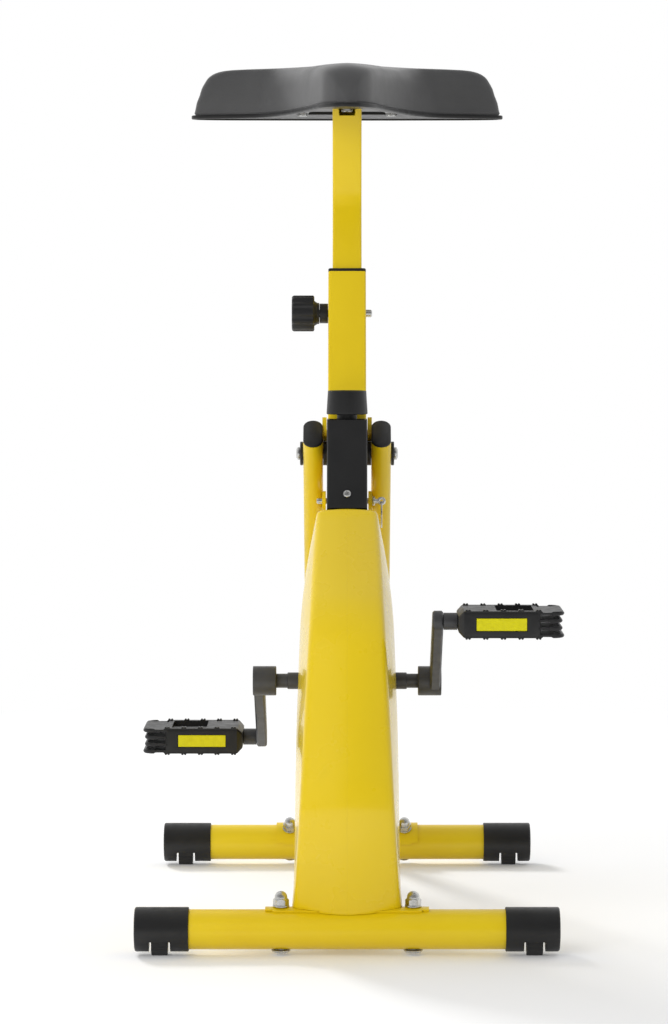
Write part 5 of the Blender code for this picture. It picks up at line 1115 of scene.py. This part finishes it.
lobes = []
for k in range(96):
    angle = 2 * math.pi * k / 96
    wave = math.cos(FLUTES * angle)
    reach = KNOB_R + 0.8 * MM * math.copysign(abs(wave) ** 0.45, wave)
    lobes.append((reach * math.cos(angle), reach * math.sin(angle)))
stations = []
for run, share in ((-33.55, 0.93), (-34.6, 1.0), (-54.6, 1.0), (-56.0, 0.955), (-56.55, 0.88)):
    stations.append(along(stem, run * MM) @ Matrix.Diagonal((share, share, 1.0, 1.0)))
fluted = carved(swept(lobes, stations), rod(4.1 * MM, -51 * MM, -25 * MM, stem, 24))
shoulder = mm((-28.45, 4.2), (-28.45, 10.7), (-30.6, 11.0), (-34.0, 13.2), (-35.0, 13.2), (-35.0, 4.2),
              (-28.45, 4.2))
knob = together(fluted, turned(eased(shoulder, 0.5 * MM, 3), stem, 48))
piece(knob, "height_fluted_knob", "height_knob", "black_plastic", "height_knob", 0.0, 28.0)

pin_profile = mm((-50.25, 0.0), (-50.25, 3.9), (24.4, 3.9), (25.6, 2.9), (25.6, 0.0))
pin_shape = turned(eased(pin_profile, 0.5 * MM, 3), stem, 40)
piece(pin_shape, "height_pull_pin", "height_pin", "zinc", "height_pin")
print("pieces so far", len(MADE))

# %% [markdown]
# ## Cranks
#
# The crank arms are flat forgings with a thick boss on the axle. Their long edges are chamfered, so
# the face has a thin pale outline. Axle, bosses and spindles carry the same dark satin coat.

# %% Axle, arms and spindles
ARM_FROM = 81.0 * MM
ARM_END = 91.3 * MM
CHAMFER = 1.6 * MM

axle = mm((-88.3, 0.0), (-88.3, 7.0), (-58.4, 7.0), (-58.4, 8.2), (58.4, 8.2), (58.4, 7.0), (88.3, 7.0),
          (88.3, 0.0))
piece(turned(eased(axle, 0.5 * MM, 3), sideways(CRANK), 48), "crank_through_axle", "crank", "dark_steel",
      "crank_axle")


def wrap(a, radius_a, b, radius_b, steps=20):
    """The outline round two circles in the side plane."""
    run = b - a
    turn = math.atan2(run.z, run.y)
    open_angle = math.acos((radius_a - radius_b) / run.length)
    return (arc(flat(a), radius_a, turn + open_angle, turn + 2 * math.pi - open_angle, steps)
            + arc(flat(b), radius_b, turn - open_angle, turn + open_angle, steps))


def crank_arm(spindle):
    layers = []
    for x, inset in ((ARM_FROM, CHAMFER), (ARM_FROM + CHAMFER, 0.0), (ARM_END - CHAMFER, 0.0),
                     (ARM_END, CHAMFER)):
        layers.append((x, wrap(CRANK, 13 * MM - inset, spindle, 10.1 * MM - inset)))
    boss = mm((69.5, 7.1), (69.5, 14.4), (92.3, 14.4), (92.3, 9.0), (88.6, 9.0), (88.6, 7.1), (69.5, 7.1))
    return together(layered(layers), turned(eased(boss, 0.8 * MM, 3), sideways(CRANK), 72))


for hand, side in SIDES:
    arm = mirrored(crank_arm(PEDALS[hand]), side)
    piece(arm, f"crank_forging_{hand}", "crank", "dark_steel", f"crank_arm_{hand}", 0.4 * MM)
    line = mm((82.0, 0.0), (82.0, 6.0), (91.6, 6.0), (91.6, 8.2), (104.7, 8.2), (104.7, 6.0), (177.4, 6.0),
              (177.4, 0.0))
    spindle = mirrored(turned(eased(line, 0.4 * MM, 3), sideways(PEDALS[hand]), 40), side)
    piece(spindle, f"spindle_turned_{hand}", "crank", "dark_steel", f"pedal_spindle_{hand}")
print("arm length", round((PEDALS["right"] - CRANK).length, 4))

# %% [markdown]
# ## Pedals
#
# Each pedal is one moulding: a solid deck beside the crank, two rails with double grip teeth, an
# open window with the spindle barrel across it, and four flat fins round the outer end. The fins
# end in thick round lips. A reflector sits in a pocket in both rails.

# %% Pedal pieces
PEDAL_IN = 105.0 * MM
PEDAL_OUT = 204.5 * MM
PEDAL_DEEP = 40.0 * MM
PEDAL_HIGH = 12.6 * MM
RAIL = 9.0 * MM
FINS = 4
FINS_FROM = PEDAL_OUT - 23.5 * MM
TEETH = 5
TOOTH_PITCH = 16.6 * MM
TOOTH = 5.4 * MM
LENS_FROM, LENS_TO = PEDAL_IN + 16.6 * MM, PEDAL_IN + 64.2 * MM


def facing_block(facing, x_span, y_span, half_height):
    """A block towards the front or the rear of the pedal."""
    near, far = sorted(facing * y for y in y_span)
    return block((x_span[0], near, -half_height), (x_span[1], far, half_height))


def fin(number):
    """One flat fin with a thick, rounded lip and round outer corners."""
    thin, lip, corner = 1.0 * MM, 2.1 * MM, 9 * MM
    z = -PEDAL_HIGH + lip + number * (2 * PEDAL_HIGH - 2 * lip) / (FINS - 1)
    reach = PEDAL_OUT - (1.6 * MM if number in (1, 2) else 0.0)
    low = FINS_FROM - 1.0 * MM
    section = [
        (low, z - thin), (reach - 6.4 * MM, z - thin), (reach - 4.6 * MM, z - lip * 0.72),
        (reach - 3.2 * MM, z - lip), (reach - 1.4 * MM, z - lip * 0.9), (reach - 0.3 * MM, z - lip * 0.5),
        (reach, z),
    ]
    section += [(x, 2 * z - level) for x, level in reversed(section[:-1])]
    stations = []
    for k in range(9):
        angle = k * math.pi / 16
        stations.append((-PEDAL_DEEP + corner * (1 - math.cos(angle)), corner * (1 - math.sin(angle))))
    stations += [(-y, pull) for y, pull in reversed(stations)]
    rings = []
    for y, pull in stations:
        share = 1 - pull / (reach - low)
        rings.append([Vector((low + (x - low) * share, y, level)) for x, level in section])
    return skinned(rings)


def teeth(facing, up):
    """A row of double teeth on one edge of the pedal."""
    near, far = sorted((facing * (PEDAL_DEEP - RAIL + 1 * MM), facing * (PEDAL_DEEP - 0.6 * MM)))
    root = PEDAL_HIGH - 1.2 * MM
    first = PEDAL_IN + 6 * MM
    points = [(PEDAL_IN + 4.4 * MM, root)]
    for tooth in range(TEETH):
        for share, rise in ((0.0, 0.1), (0.08, 1.2), (0.2, 1.6), (0.38, 1.4), (0.5, 0.3), (0.62, 1.4),
                            (0.8, 1.6), (0.92, 1.2), (1.0, 0.1)):
            points.append((first + tooth * TOOTH_PITCH + share * TOOTH, PEDAL_HIGH + rise * MM))
    points.append((first + (TEETH - 1) * TOOTH_PITCH + 7 * MM, root))
    points = [(x, up * z) for x, z in points]
    return swept(points, [upright(Vector((0.0, y, 0.0)), 90 * DEG) for y in (near, far)])


def pedal_body():
    """The right-hand pedal about its spindle, before it is put in place."""
    layers = []
    for x, drop in ((PEDAL_IN, 5 * MM), (PEDAL_IN + 0.6 * MM, 4.3 * MM), (PEDAL_IN + 4.4 * MM, 0.5 * MM),
                    (PEDAL_IN + 5.2 * MM, 0.0), (FINS_FROM, 0.0), (FINS_FROM + 1 * MM, 1 * MM)):
        layers.append((x, rounded(2 * (PEDAL_DEEP - drop), 2 * (PEDAL_HIGH - drop), 3 * MM, 4)))
    rail_inside = PEDAL_DEEP - RAIL
    window = block((PEDAL_IN + 36 * MM, -rail_inside, -0.05), (FINS_FROM - 5 * MM, rail_inside, 0.05))
    pocket = (LENS_FROM - FIT, LENS_TO + FIT), (PEDAL_DEEP - 3.3 * MM, PEDAL_DEEP + 5 * MM), 6.3 * MM
    sockets = [facing_block(facing, *pocket) for facing in (-1, 1)]
    hollows = [block((PEDAL_IN + 8 * MM, side * 17 * MM - 9 * MM, -0.05),
                     (PEDAL_IN + 31 * MM, side * 17 * MM + 9 * MM, -4 * MM)) for side in (-1, 1)]
    body = carved(layered(layers), window, *sockets, *hollows)
    body = carved(body, rod(6.3 * MM, PEDAL_IN - 0.01, PEDAL_IN + 73 * MM, SIDEWAYS, 32))
    barrel_from, barrel_to = PEDAL_IN + 34 * MM, FINS_FROM - 2 * MM
    barrel = [(barrel_from, 6.4 * MM), (barrel_from, 10 * MM), (barrel_to, 10 * MM), (barrel_to, 6.4 * MM),
              (barrel_from, 6.4 * MM)]
    parts = [turned(eased(barrel, 0.3 * MM, 2), SIDEWAYS, 40)] + [fin(number) for number in range(FINS)]
    parts += [teeth(facing, up) for facing in (-1, 1) for up in (-1, 1)]
    return together(body, *parts)


def lens(facing):
    """A flat reflector that lies a little below the rail's face."""
    return facing_block(facing, (LENS_FROM, LENS_TO), (PEDAL_DEEP - 3 * MM, PEDAL_DEEP - 0.4 * MM), 5.95 * MM)


for hand, side in SIDES:
    place = (0.0, *flat(PEDALS[hand]))
    shape = shifted(mirrored(pedal_body(), side), place)
    piece(shape, f"pedal_moulding_{hand}", f"pedal_{hand}", "black_plastic", f"pedal_{hand}", 0.35 * MM)
    for word, facing in (("front", -1), ("rear", 1)):
        shape = shifted(mirrored(lens(facing), side), place)
        piece(shape, f"pedal_lens_{hand}_{word}", f"pedal_{hand}", "reflector_yellow",
              f"pedal_{hand}_reflector_{word}", 0.5 * MM)
print("pieces so far", len(MADE))

# %% [markdown]
# ## Housing
#
# The housing is moulded in two halves that meet on the middle plane. Its side outline is a band
# drawn tight round the flywheel and the belt wheel. Seen from the front, the face is gently crowned,
# its edges turn over a small radius, and the sides belly out round the wheel. A sheet is laid over
# those sections, then given its wall, so that it is a real shell inside as well.

# %% Outlines of the shell
SHELL_WALL = 2.5 * MM
SEAM = 0.04 * MM
FACE_LOW, FACE_HIGH = 50.4 * MM, 31.0 * MM
FACE_CORNER = 5.0 * MM
CROWN, REAR_CROWN, BELLY = 12.0 * MM, 3.0 * MM, 12.0 * MM
FOOT_ALONG = -481.0 * MM
NECK_ALONG = -91.4 * MM
NECK = (-62 * MM, 25 * MM)
ROOF_ROUND = 5.0 * MM
WHEELS = [(FLYWHEEL, 107.5 * MM), (CRANK, 118.5 * MM)]


def lerp(a, b, share):
    return a + (b - a) * share


def tangent(a, radius_a, b, radius_b, side):
    """The outward direction of the line that touches two circles on one side."""
    run = b - a
    return math.atan2(run.z, run.y) + side * math.acos((radius_a - radius_b) / run.length)


def wrapped(foot, neck, side):
    """One side of the band: from the foot round the two wheels to the neck, in the side plane."""
    stops = [(foot, 0), *WHEELS, (neck, 0)]
    path = [foot.copy()]
    for k in range(1, len(stops)):
        centre, radius = stops[k]
        if radius:
            start = tangent(*stops[k - 1], *stops[k], side)
            end = tangent(*stops[k], *stops[k + 1], side)
            points = [Vector((0.0, y, z)) for y, z in arc(flat(centre), radius, start, end, 14)]
        else:
            points = [centre.copy()]
        path += [path[-1].lerp(points[0], j / 10) for j in range(1, 10)] + points
    return path


def face_half(z):
    """Half the width of the front face at a height."""
    roof = on_tube(0.0, 0.0, NECK_ALONG + ROOF_ROUND)
    foot = on_tube(0.0, 0.0, FOOT_ALONG)
    return lerp(FACE_LOW, FACE_HIGH, (z - foot.z) / (roof.z - foot.z))


def belly(z):
    """How far the side stands out beyond the face's edge at a height."""
    low, middle, top = FLYWHEEL.z - 82 * MM, CRANK.z + 33.6 * MM, CRANK.z + 155.5 * MM
    if z < middle:
        share = max(0.0, (z - low) / (middle - low))
        return BELLY * (0.28 + 0.72 * math.sin(share * math.pi / 2))
    return BELLY * (1 - min(1.0, (z - middle) / (top - middle)) ** 2.2)


def section(front, rear, shrink=0.0):
    """Half a cut through the shell, from the front seam round the side to the rear seam."""
    depth = (rear - front).length
    half = face_half(front.z) - shrink
    swell = belly((front.z + rear.z) / 2)
    crown = CROWN * (face_half(front.z) / FACE_LOW) ** 1.9
    far = depth - REAR_CROWN
    flat_share = 1 - FACE_CORNER / half
    begin = FACE_CORNER / (far - crown)

    def side_spot(share):
        return (lerp(crown, far, share), half + swell * (1 - abs(2 * share - 1) ** 2.4))

    def turn(start, knee, end):
        return [bowed(Vector(start), Vector(knee), Vector(end), t) for t in (0.18, 0.36, 0.54, 0.72, 0.88)]

    spots = [(crown * (k / 12 * flat_share) ** 2, half * flat_share * k / 12) for k in range(13)]
    spots += turn(spots[-1], (crown, half), side_spot(begin))
    spots += [side_spot(lerp(begin, 1 - begin, 0.5 - 0.5 * math.cos(math.pi * k / 20))) for k in range(21)]
    spots += turn(spots[-1], (far, half), (depth - REAR_CROWN * flat_share**2, half - FACE_CORNER))
    spots += [(depth - REAR_CROWN * (k / 8 * flat_share) ** 2, (half - FACE_CORNER) * k / 8)
              for k in range(8, -1, -1)]
    step = (rear - front).normalized()
    return [Vector((max(x, SEAM / 2), *flat(front + step * back))) for back, x in spots]


front_path = wrapped(Vector((0.0, -286.774 * MM, 40 * MM)), on_tube(0.0, NECK[0], NECK_ALONG), 1)
rear_path = wrapped(Vector((0.0, -254.774 * MM, 32.5 * MM)), on_tube(0.0, NECK[1], NECK_ALONG), -1)
print("shell rows", len(front_path), "points a row", len(section(front_path[0], rear_path[0])))

# %% Shell halves


def stabilizer_notch():
    """Clears the cross tube and its bracket out of the shell's foot."""
    top, spread = math.pi / 2, 30 * DEG
    low, high = 19.85 * MM, 21.95 * MM
    centre = flat(FRONT)
    outline = arc(centre, high, top - spread, top + spread, 24) + arc(centre, low, top + spread, math.pi, 16)
    outline += [(FRONT.y - low, 0.0), (FRONT.y + low, 0.0)]
    return outline + arc(centre, low, 0.0, top - spread, 16)


def shell_rows():
    """The sections from foot to neck, then over the round edge of the roof and in to the seam."""
    rows = [section(a, b) for a, b in zip(front_path, rear_path)]
    for k in range(1, 6):
        angle = k * math.pi / 10
        inset = ROOF_ROUND * (1 - math.cos(angle))
        rise = NECK_ALONG + ROOF_ROUND * math.sin(angle)
        ends = (on_tube(0.0, NECK[0] + inset, rise), on_tube(0.0, NECK[1] - inset * 0.6, rise))
        rows.append(section(*ends, inset * 0.8))
    edge = rows[-1]
    middle = [Vector((SEAM / 2, *flat(spot))) for spot in edge]
    return rows + [[spot.lerp(end, share) for spot, end in zip(edge, middle)] for share in (0.5, 1.0)]


def shell_half(side):
    sheet = surface_grid(shell_rows())
    if sum(face.normal.x * face.calc_area() for face in sheet.faces) < 0:
        bmesh.ops.reverse_faces(sheet, faces=sheet.faces)
    bmesh.ops.solidify(sheet, geom=sheet.faces[:], thickness=SHELL_WALL)
    tube_way = beam(square(39.1 * MM, SQUARE_CORNER), NECK_ALONG - 25 * MM, NECK_ALONG + 35 * MM, TUBE)
    cutters = [drill(9.7 * MM, sideways(CRANK), 64, FAR), plate(stabilizer_notch(), -FAR, FAR), tube_way]
    if side < 0:
        low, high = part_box("tension_cable")
        drop = TUBE @ Matrix.Translation(((low.x + high.x) / 2, -32.4 * MM, 0.0))
        cutters.append(rod(3.6 * MM, NECK_ALONG - 20 * MM, NECK_ALONG + 30 * MM, drop, 24))
    return carved(mirrored(sheet, side), *cutters, crossing=True)


for hand, side in SIDES:
    shape = shell_half(side)
    half = piece(shape, f"shell_half_{hand}", "frame", "yellow_shell", f"housing_{hand}", 0.0, 40.0)
    print(half.name, len(half.data.polygons), "faces")

# %% [markdown]
# ## Saddle
#
# The saddle is one block of skinned foam, foamed in a mould, so it has no seams: a rounded nose that
# widens into two broad wings. Its top is crowned, its sides draw in towards the top, and its lower
# edge tucks in over the pan's lip and leaves a thin dark line. Skinned foam keeps the shape of its
# mould, so it is lofted from sections, and no cloth is simulated.

# %% Saddle outline
SADDLE_PLAN = (
    (0.0, 0.0), (0.045, 0.006), (0.09, 0.022), (0.155, 0.08), (0.193, 0.15), (0.25, 0.3),
    (0.305, 0.43), (0.37, 0.56), (0.45, 0.68), (0.545, 0.765), (0.68, 0.805), (0.83, 0.832),
    (0.93, 0.852), (0.985, 0.875), (1.0, 0.905), (0.985, 0.937), (0.93, 0.962), (0.8, 0.982),
    (0.55, 0.993), (0.25, 0.999), (0.0, 1.0),
)
PLAN_STEPS = 6
NOSE_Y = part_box("saddle_pan")[0].y
SADDLE_HALF = 166.0 * MM
SADDLE_LENGTH = 282.0 * MM
LIP_LOW = 816.5 * MM
LIP_TOP = 820.5 * MM


def saddle_plan(inset):
    """The saddle's plan from the nose round the right wing to the tail and back."""
    half = [(x * SADDLE_HALF, NOSE_Y + y * SADDLE_LENGTH) for x, y in SADDLE_PLAN]
    knots = [Vector(point) for point in both_halves(half)]
    count = len(knots)
    whole = []
    for k in range(count):
        four = [knots[(k + j) % count] for j in (-1, 0, 1, 2)]
        whole += [smooth_point(*four, j / PLAN_STEPS) for j in range(PLAN_STEPS)]
    drawn = []
    for k, (x, y) in enumerate(whole):
        run = whole[(k + 1) % len(whole)] - whole[k - 1]
        drawn.append((x - inset * run.y / run.length, y + inset * run.x / run.length))
    return drawn


# %% Cushion
CUSHION_BASE = LIP_TOP + 0.3 * MM
CUSHION_RISE = 46.6 * MM
SKIRT = 1.7 * MM
TUCK = 0.9 * MM

# Half a cut across the foam, from its lower edge to the middle: shares of the half width and height
WING_CUT = (
    (1.0, 0.0), (0.993, 0.1), (0.984, 0.26), (0.966, 0.42), (0.952, 0.585), (0.926, 0.75), (0.910, 0.83),
    (0.880, 0.91), (0.84, 0.962), (0.79, 0.988), (0.68, 1.0), (0.5, 1.0), (0.25, 1.0), (0.0, 1.0),
)
NOSE_CUT = (
    (1.0, 0.0), (0.998, 0.1), (0.995, 0.26), (0.99, 0.42), (0.981, 0.57), (0.963, 0.69), (0.935, 0.77),
    (0.89, 0.832), (0.81, 0.882), (0.68, 0.925), (0.52, 0.955), (0.36, 0.977), (0.18, 0.993), (0.0, 1.0),
)


def cushion_height(share, across):
    """The top of the foam at a share of the length and a share of the half width."""
    nose_drop = 9.6 * MM * max(0.0, 1 - share / 0.52) ** 1.15
    channel = 4 * MM * math.exp(-((across / 0.14) ** 2)) * max(0.0, min(1.0, (share - 0.45) / 0.3))
    ends = max(0.0, 1 - abs(2 * share - 1) ** 14) ** 0.5
    return (CUSHION_RISE - nose_drop - channel) * ends


def cushion_cut(share):
    """The half cut at a share of the length: round at the nose, broad and flat at the wings."""
    t = max(0.0, min(1.0, (share - 0.5) / 0.32))
    weight = t * t * (3 - 2 * t)
    knots = [Vector(a).lerp(Vector(b), weight) for a, b in zip(NOSE_CUT, WING_CUT)]
    last = len(knots) - 1
    points = []
    for k in range(last):
        four = [knots[max(0, min(last, k + j))] for j in (-1, 0, 1, 2)]
        points += [smooth_point(*four, t) for t in (0.0, 0.5)]
    return points + [knots[-1]]


def cushion_rings():
    half_plan = saddle_plan(3 * MM)[: (len(SADDLE_PLAN) - 1) * PLAN_STEPS + 1]
    low_y, high_y = half_plan[0][1], half_plan[-1][1]
    rings = []
    for half, y in half_plan:
        share = (y - low_y) / (high_y - low_y)
        in_edge = half - min(TUCK, abs(half) * 0.5)
        ring = []
        right = cushion_cut(share)
        whole = [tuple(point) for point in right] + [(-x, up) for x, up in reversed(right[:-1])]
        for u, up in whole:
            rise = SKIRT + cushion_height(share, abs(u)) * up
            ring.append(Vector((u * half, y, CUSHION_BASE + rise)))
        ring.append(Vector((-in_edge, y, CUSHION_BASE + TUCK)))
        ring += [Vector((x * in_edge, y, CUSHION_BASE)) for x in (-1.0, -0.5, 0.0, 0.5, 1.0)]
        ring.append(Vector((in_edge, y, CUSHION_BASE + TUCK)))
        rings.append(ring + [ring[0]])
    return rings


def bump_plan(inset):
    """The plan of the pan's raised seat, round the saddle plate."""
    wide, narrow = 56.5 * MM - inset, 29 * MM - inset
    front, rear = POST_Y - 39 * MM + inset, POST_Y + 81 * MM - inset
    bolts = POST_Y + TAIL_BOLT
    half = [(narrow * 0.6, front), (narrow, front + 8 * MM), (narrow + 9 * MM, POST_Y + 20 * MM + inset),
            (wide - 6.5 * MM, bolts - 13 * MM + inset), (wide, bolts - 5 * MM + inset), (wide, rear - 8 * MM),
            (wide - 8 * MM, rear)]
    return eased(half + [(-x, y) for x, y in reversed(half)], 5 * MM, 3, loop=True)


cushion = carved(surface_grid(cushion_rings()), beam(bump_plan(-1 * MM), LIP_LOW, 840.5 * MM))
saddle = piece(cushion, "saddle_foam", "seat", "saddle_skin", "saddle_cushion", 0.0, 60.0)
print("cushion faces", len(saddle.data.polygons))

# %% [markdown]
# Under the foam is a stiff moulded pan. Its lip stands out a little all round and hides the edge of
# the skin. A raised seat in the middle takes the steel plate and its three bolts.

# %% Pan
rings = []
for z, inset in mm((816.5, 0.9), (816.8, 0.3), (817.4, 0.0), (819.7, 0.0), (820.3, 0.3), (820.5, 0.9)):
    rings.append([Vector((x, y, z)) for x, y in saddle_plan(inset)])
raised = beam(bump_plan(0.0), 817.3 * MM, 827.8 * MM)
pan = carved(skinned(rings), raised, keep="UNION")
recess = beam(saddle_plan(4 * MM), 810 * MM, 818 * MM)
seat_room = beam(bump_plan(2 * MM), 809 * MM, 824.8 * MM)
pan = carved(pan, recess, seat_room)
drills = [rod(4.2 * MM, 820 * MM, 832 * MM, spot, 24) for spot in bolt_places(0.0).values()]
piece(carved(pan, *drills), "saddle_base", "seat", "black_plastic", "saddle_pan", 0.3 * MM)
print("pieces", len(MADE))

# %% [markdown]
# ## Carried-over solids
#
# The flywheel, the belt and the small parts inside the shell have the right shape already. They get
# their finishes through their material slots, in place of the plain ones that they come with.

# %% Finishes for the inner parts
INNER = {
    "flywheel": "cast_iron", "drive_pulley": "black_plastic", "drive_belt": "belt_rubber",
    "tension_cable": "belt_rubber", "magnet_arm": "zinc", "magnet_spring": "zinc",
    "bearing_cup_left": "dark_steel", "bearing_cup_right": "dark_steel",
}
for name, look in INNER.items():
    solid = bpy.data.objects[name]
    if not solid.material_slots:
        solid.data.materials.append(FINISH[look])
    for slot in solid.material_slots:
        slot.material = FINISH[look]
print("inner parts", len(INNER))

# %% [markdown]
# ## Floor, light and camera
#
# The bike stands on a pale sweep. Near the feet the floor is a real surface that takes the shadow;
# far away it fades to plain white, as a studio sweep does when it is lit from behind. The light is
# one broad lamp from the left and behind, a wider and weaker one in front, and a white room.

# %% Floor
FLOOR_LIFT = 0.13
WHITE = (1.0, 1.0, 1.0, 1.0)


def glowing(made, kind, strength):
    """A plain white glow, as a shader of the given kind."""
    glow = node(made, kind)
    glow.inputs["Color"].default_value = WHITE
    glow.inputs["Strength"].default_value = strength
    return glow


def floor_finish():
    made = bpy.data.materials.new("studio_floor")
    made.use_nodes = True
    nodes = made.node_tree.nodes
    links = made.node_tree.links
    nodes.remove(nodes["Principled BSDF"])
    matt = node(made, "ShaderNodeBsdfDiffuse")
    matt.inputs["Color"].default_value = (0.82, 0.82, 0.82, 1.0)
    glow = glowing(made, "ShaderNodeEmission", 1.0)
    lift = glowing(made, "ShaderNodeEmission", FLOOR_LIFT)
    near = node(made, "ShaderNodeAddShader")
    links.new(matt.outputs["BSDF"], near.inputs[0])
    links.new(lift.outputs["Emission"], near.inputs[1])
    where = node(made, "ShaderNodeTexCoord")
    reach = node(made, "ShaderNodeVectorMath", operation="LENGTH")
    links.new(where.outputs["Object"], reach.inputs[0])
    fade = mapped(made, reach.outputs["Value"], 0.0, 1.0, 0.9, 1.9)
    ray = node(made, "ShaderNodeLightPath")
    seen = node(made, "ShaderNodeMath", operation="MAXIMUM")
    links.new(ray.outputs["Is Camera Ray"], seen.inputs[0])
    links.new(ray.outputs["Is Glossy Ray"], seen.inputs[1])
    share = node(made, "ShaderNodeMath", operation="MULTIPLY")
    links.new(fade, share.inputs[0])
    links.new(seen.outputs["Value"], share.inputs[1])
    blend = node(made, "ShaderNodeMixShader")
    links.new(share.outputs["Value"], blend.inputs["Fac"])
    links.new(near.outputs["Shader"], blend.inputs[1])
    links.new(glow.outputs["Emission"], blend.inputs[2])
    links.new(blend.outputs["Shader"], nodes["Material Output"].inputs["Surface"])
    return made


ground = bmesh.new()
bmesh.ops.create_circle(ground, cap_ends=True, segments=96, radius=30.0)
bmesh.ops.translate(ground, vec=(0.0, 0.0, solid_low.z - 0.2 * MM), verts=ground.verts)
floor_mesh = bpy.data.meshes.new("studio_floor")
ground.to_mesh(floor_mesh)
ground.free()
floor_mesh.materials.append(floor_finish())
studio_floor = bpy.data.objects.new("studio_floor", floor_mesh)
bpy.context.scene.collection.objects.link(studio_floor)
print("floor at", round(solid_low.z - 0.2 * MM, 5))

# %% Light
ROOM_FRONT = 0.22
ROOM_BACK = 0.95

scene = bpy.context.scene
scene.view_settings.view_transform = "Standard"


def room():
    """White to the camera, and to all else a grey room that is brighter behind the bike."""
    made = bpy.data.worlds.new("studio_room")
    made.use_nodes = True
    nodes = made.node_tree.nodes
    links = made.node_tree.links
    back = nodes["Background"]
    back.inputs["Color"].default_value = WHITE
    back.inputs["Strength"].default_value = 1.0
    fill = glowing(made, "ShaderNodeBackground", 1.0)
    heading = node(made, "ShaderNodeTexCoord")
    split = node(made, "ShaderNodeSeparateXYZ")
    links.new(heading.outputs["Generated"], split.inputs[0])
    strength = mapped(made, split.outputs["Y"], ROOM_FRONT, ROOM_BACK, -0.9, 0.6)
    links.new(strength, fill.inputs["Strength"])
    ray = node(made, "ShaderNodeLightPath")
    seen = node(made, "ShaderNodeMixShader")
    links.new(ray.outputs["Is Camera Ray"], seen.inputs["Fac"])
    links.new(fill.outputs["Background"], seen.inputs[1])
    links.new(back.outputs["Background"], seen.inputs[2])
    links.new(seen.outputs["Shader"], nodes["World Output"].inputs["Surface"])
    return made


def lamp(name, at, towards, size, watts):
    """A soft square lamp that faces a point and stays out of reflections."""
    light = bpy.data.lights.new(name, "AREA")
    light.shape = "RECTANGLE"
    light.size = size
    light.size_y = size
    light.energy = watts
    holder = bpy.data.objects.new(name, light)
    scene.collection.objects.link(holder)
    turn = (Vector(towards) - Vector(at)).to_track_quat("-Z", "Y").to_matrix().to_4x4()
    holder.matrix_world = Matrix.Translation(at) @ turn
    holder.visible_glossy = False


scene.world = room()
lamp("key_light", (-1.75, 2.9, 2.6), (0.0, 0.0, 0.2), 0.9, 92.0)
lamp("front_fill", (-1.5, -3.2, 1.7), (0.0, 0.0, 0.4), 2.6, 75.0)
print("room from", ROOM_FRONT, "to", ROOM_BACK)

# %% [markdown]
# The camera stands straight in front of the bike at a little under head height, and looks down by
# about three degrees. The long lens keeps the tubes nearly parallel, as in the picture.

# %% Camera
camera = bpy.data.objects.new("front_view", bpy.data.cameras.new("front_view"))
scene.collection.objects.link(camera)
camera.location = (0.0, -3.774774, 0.6168)
camera.rotation_euler = ((90 - 3.173) * DEG, 0.0, 0.0)
camera.data.lens = 130.13
camera.data.sensor_fit = "VERTICAL"
camera.data.sensor_height = 36.0
camera.data.shift_x = -13.1 / 1024
scene.camera = camera
print("lens", round(camera.data.lens, 1))

# %% [markdown]
# ## Size
# The number of finished pieces is printed at the end. The visual model must stay as large as its
# solids.

# %% Piece count
print("pieces", len(MADE))
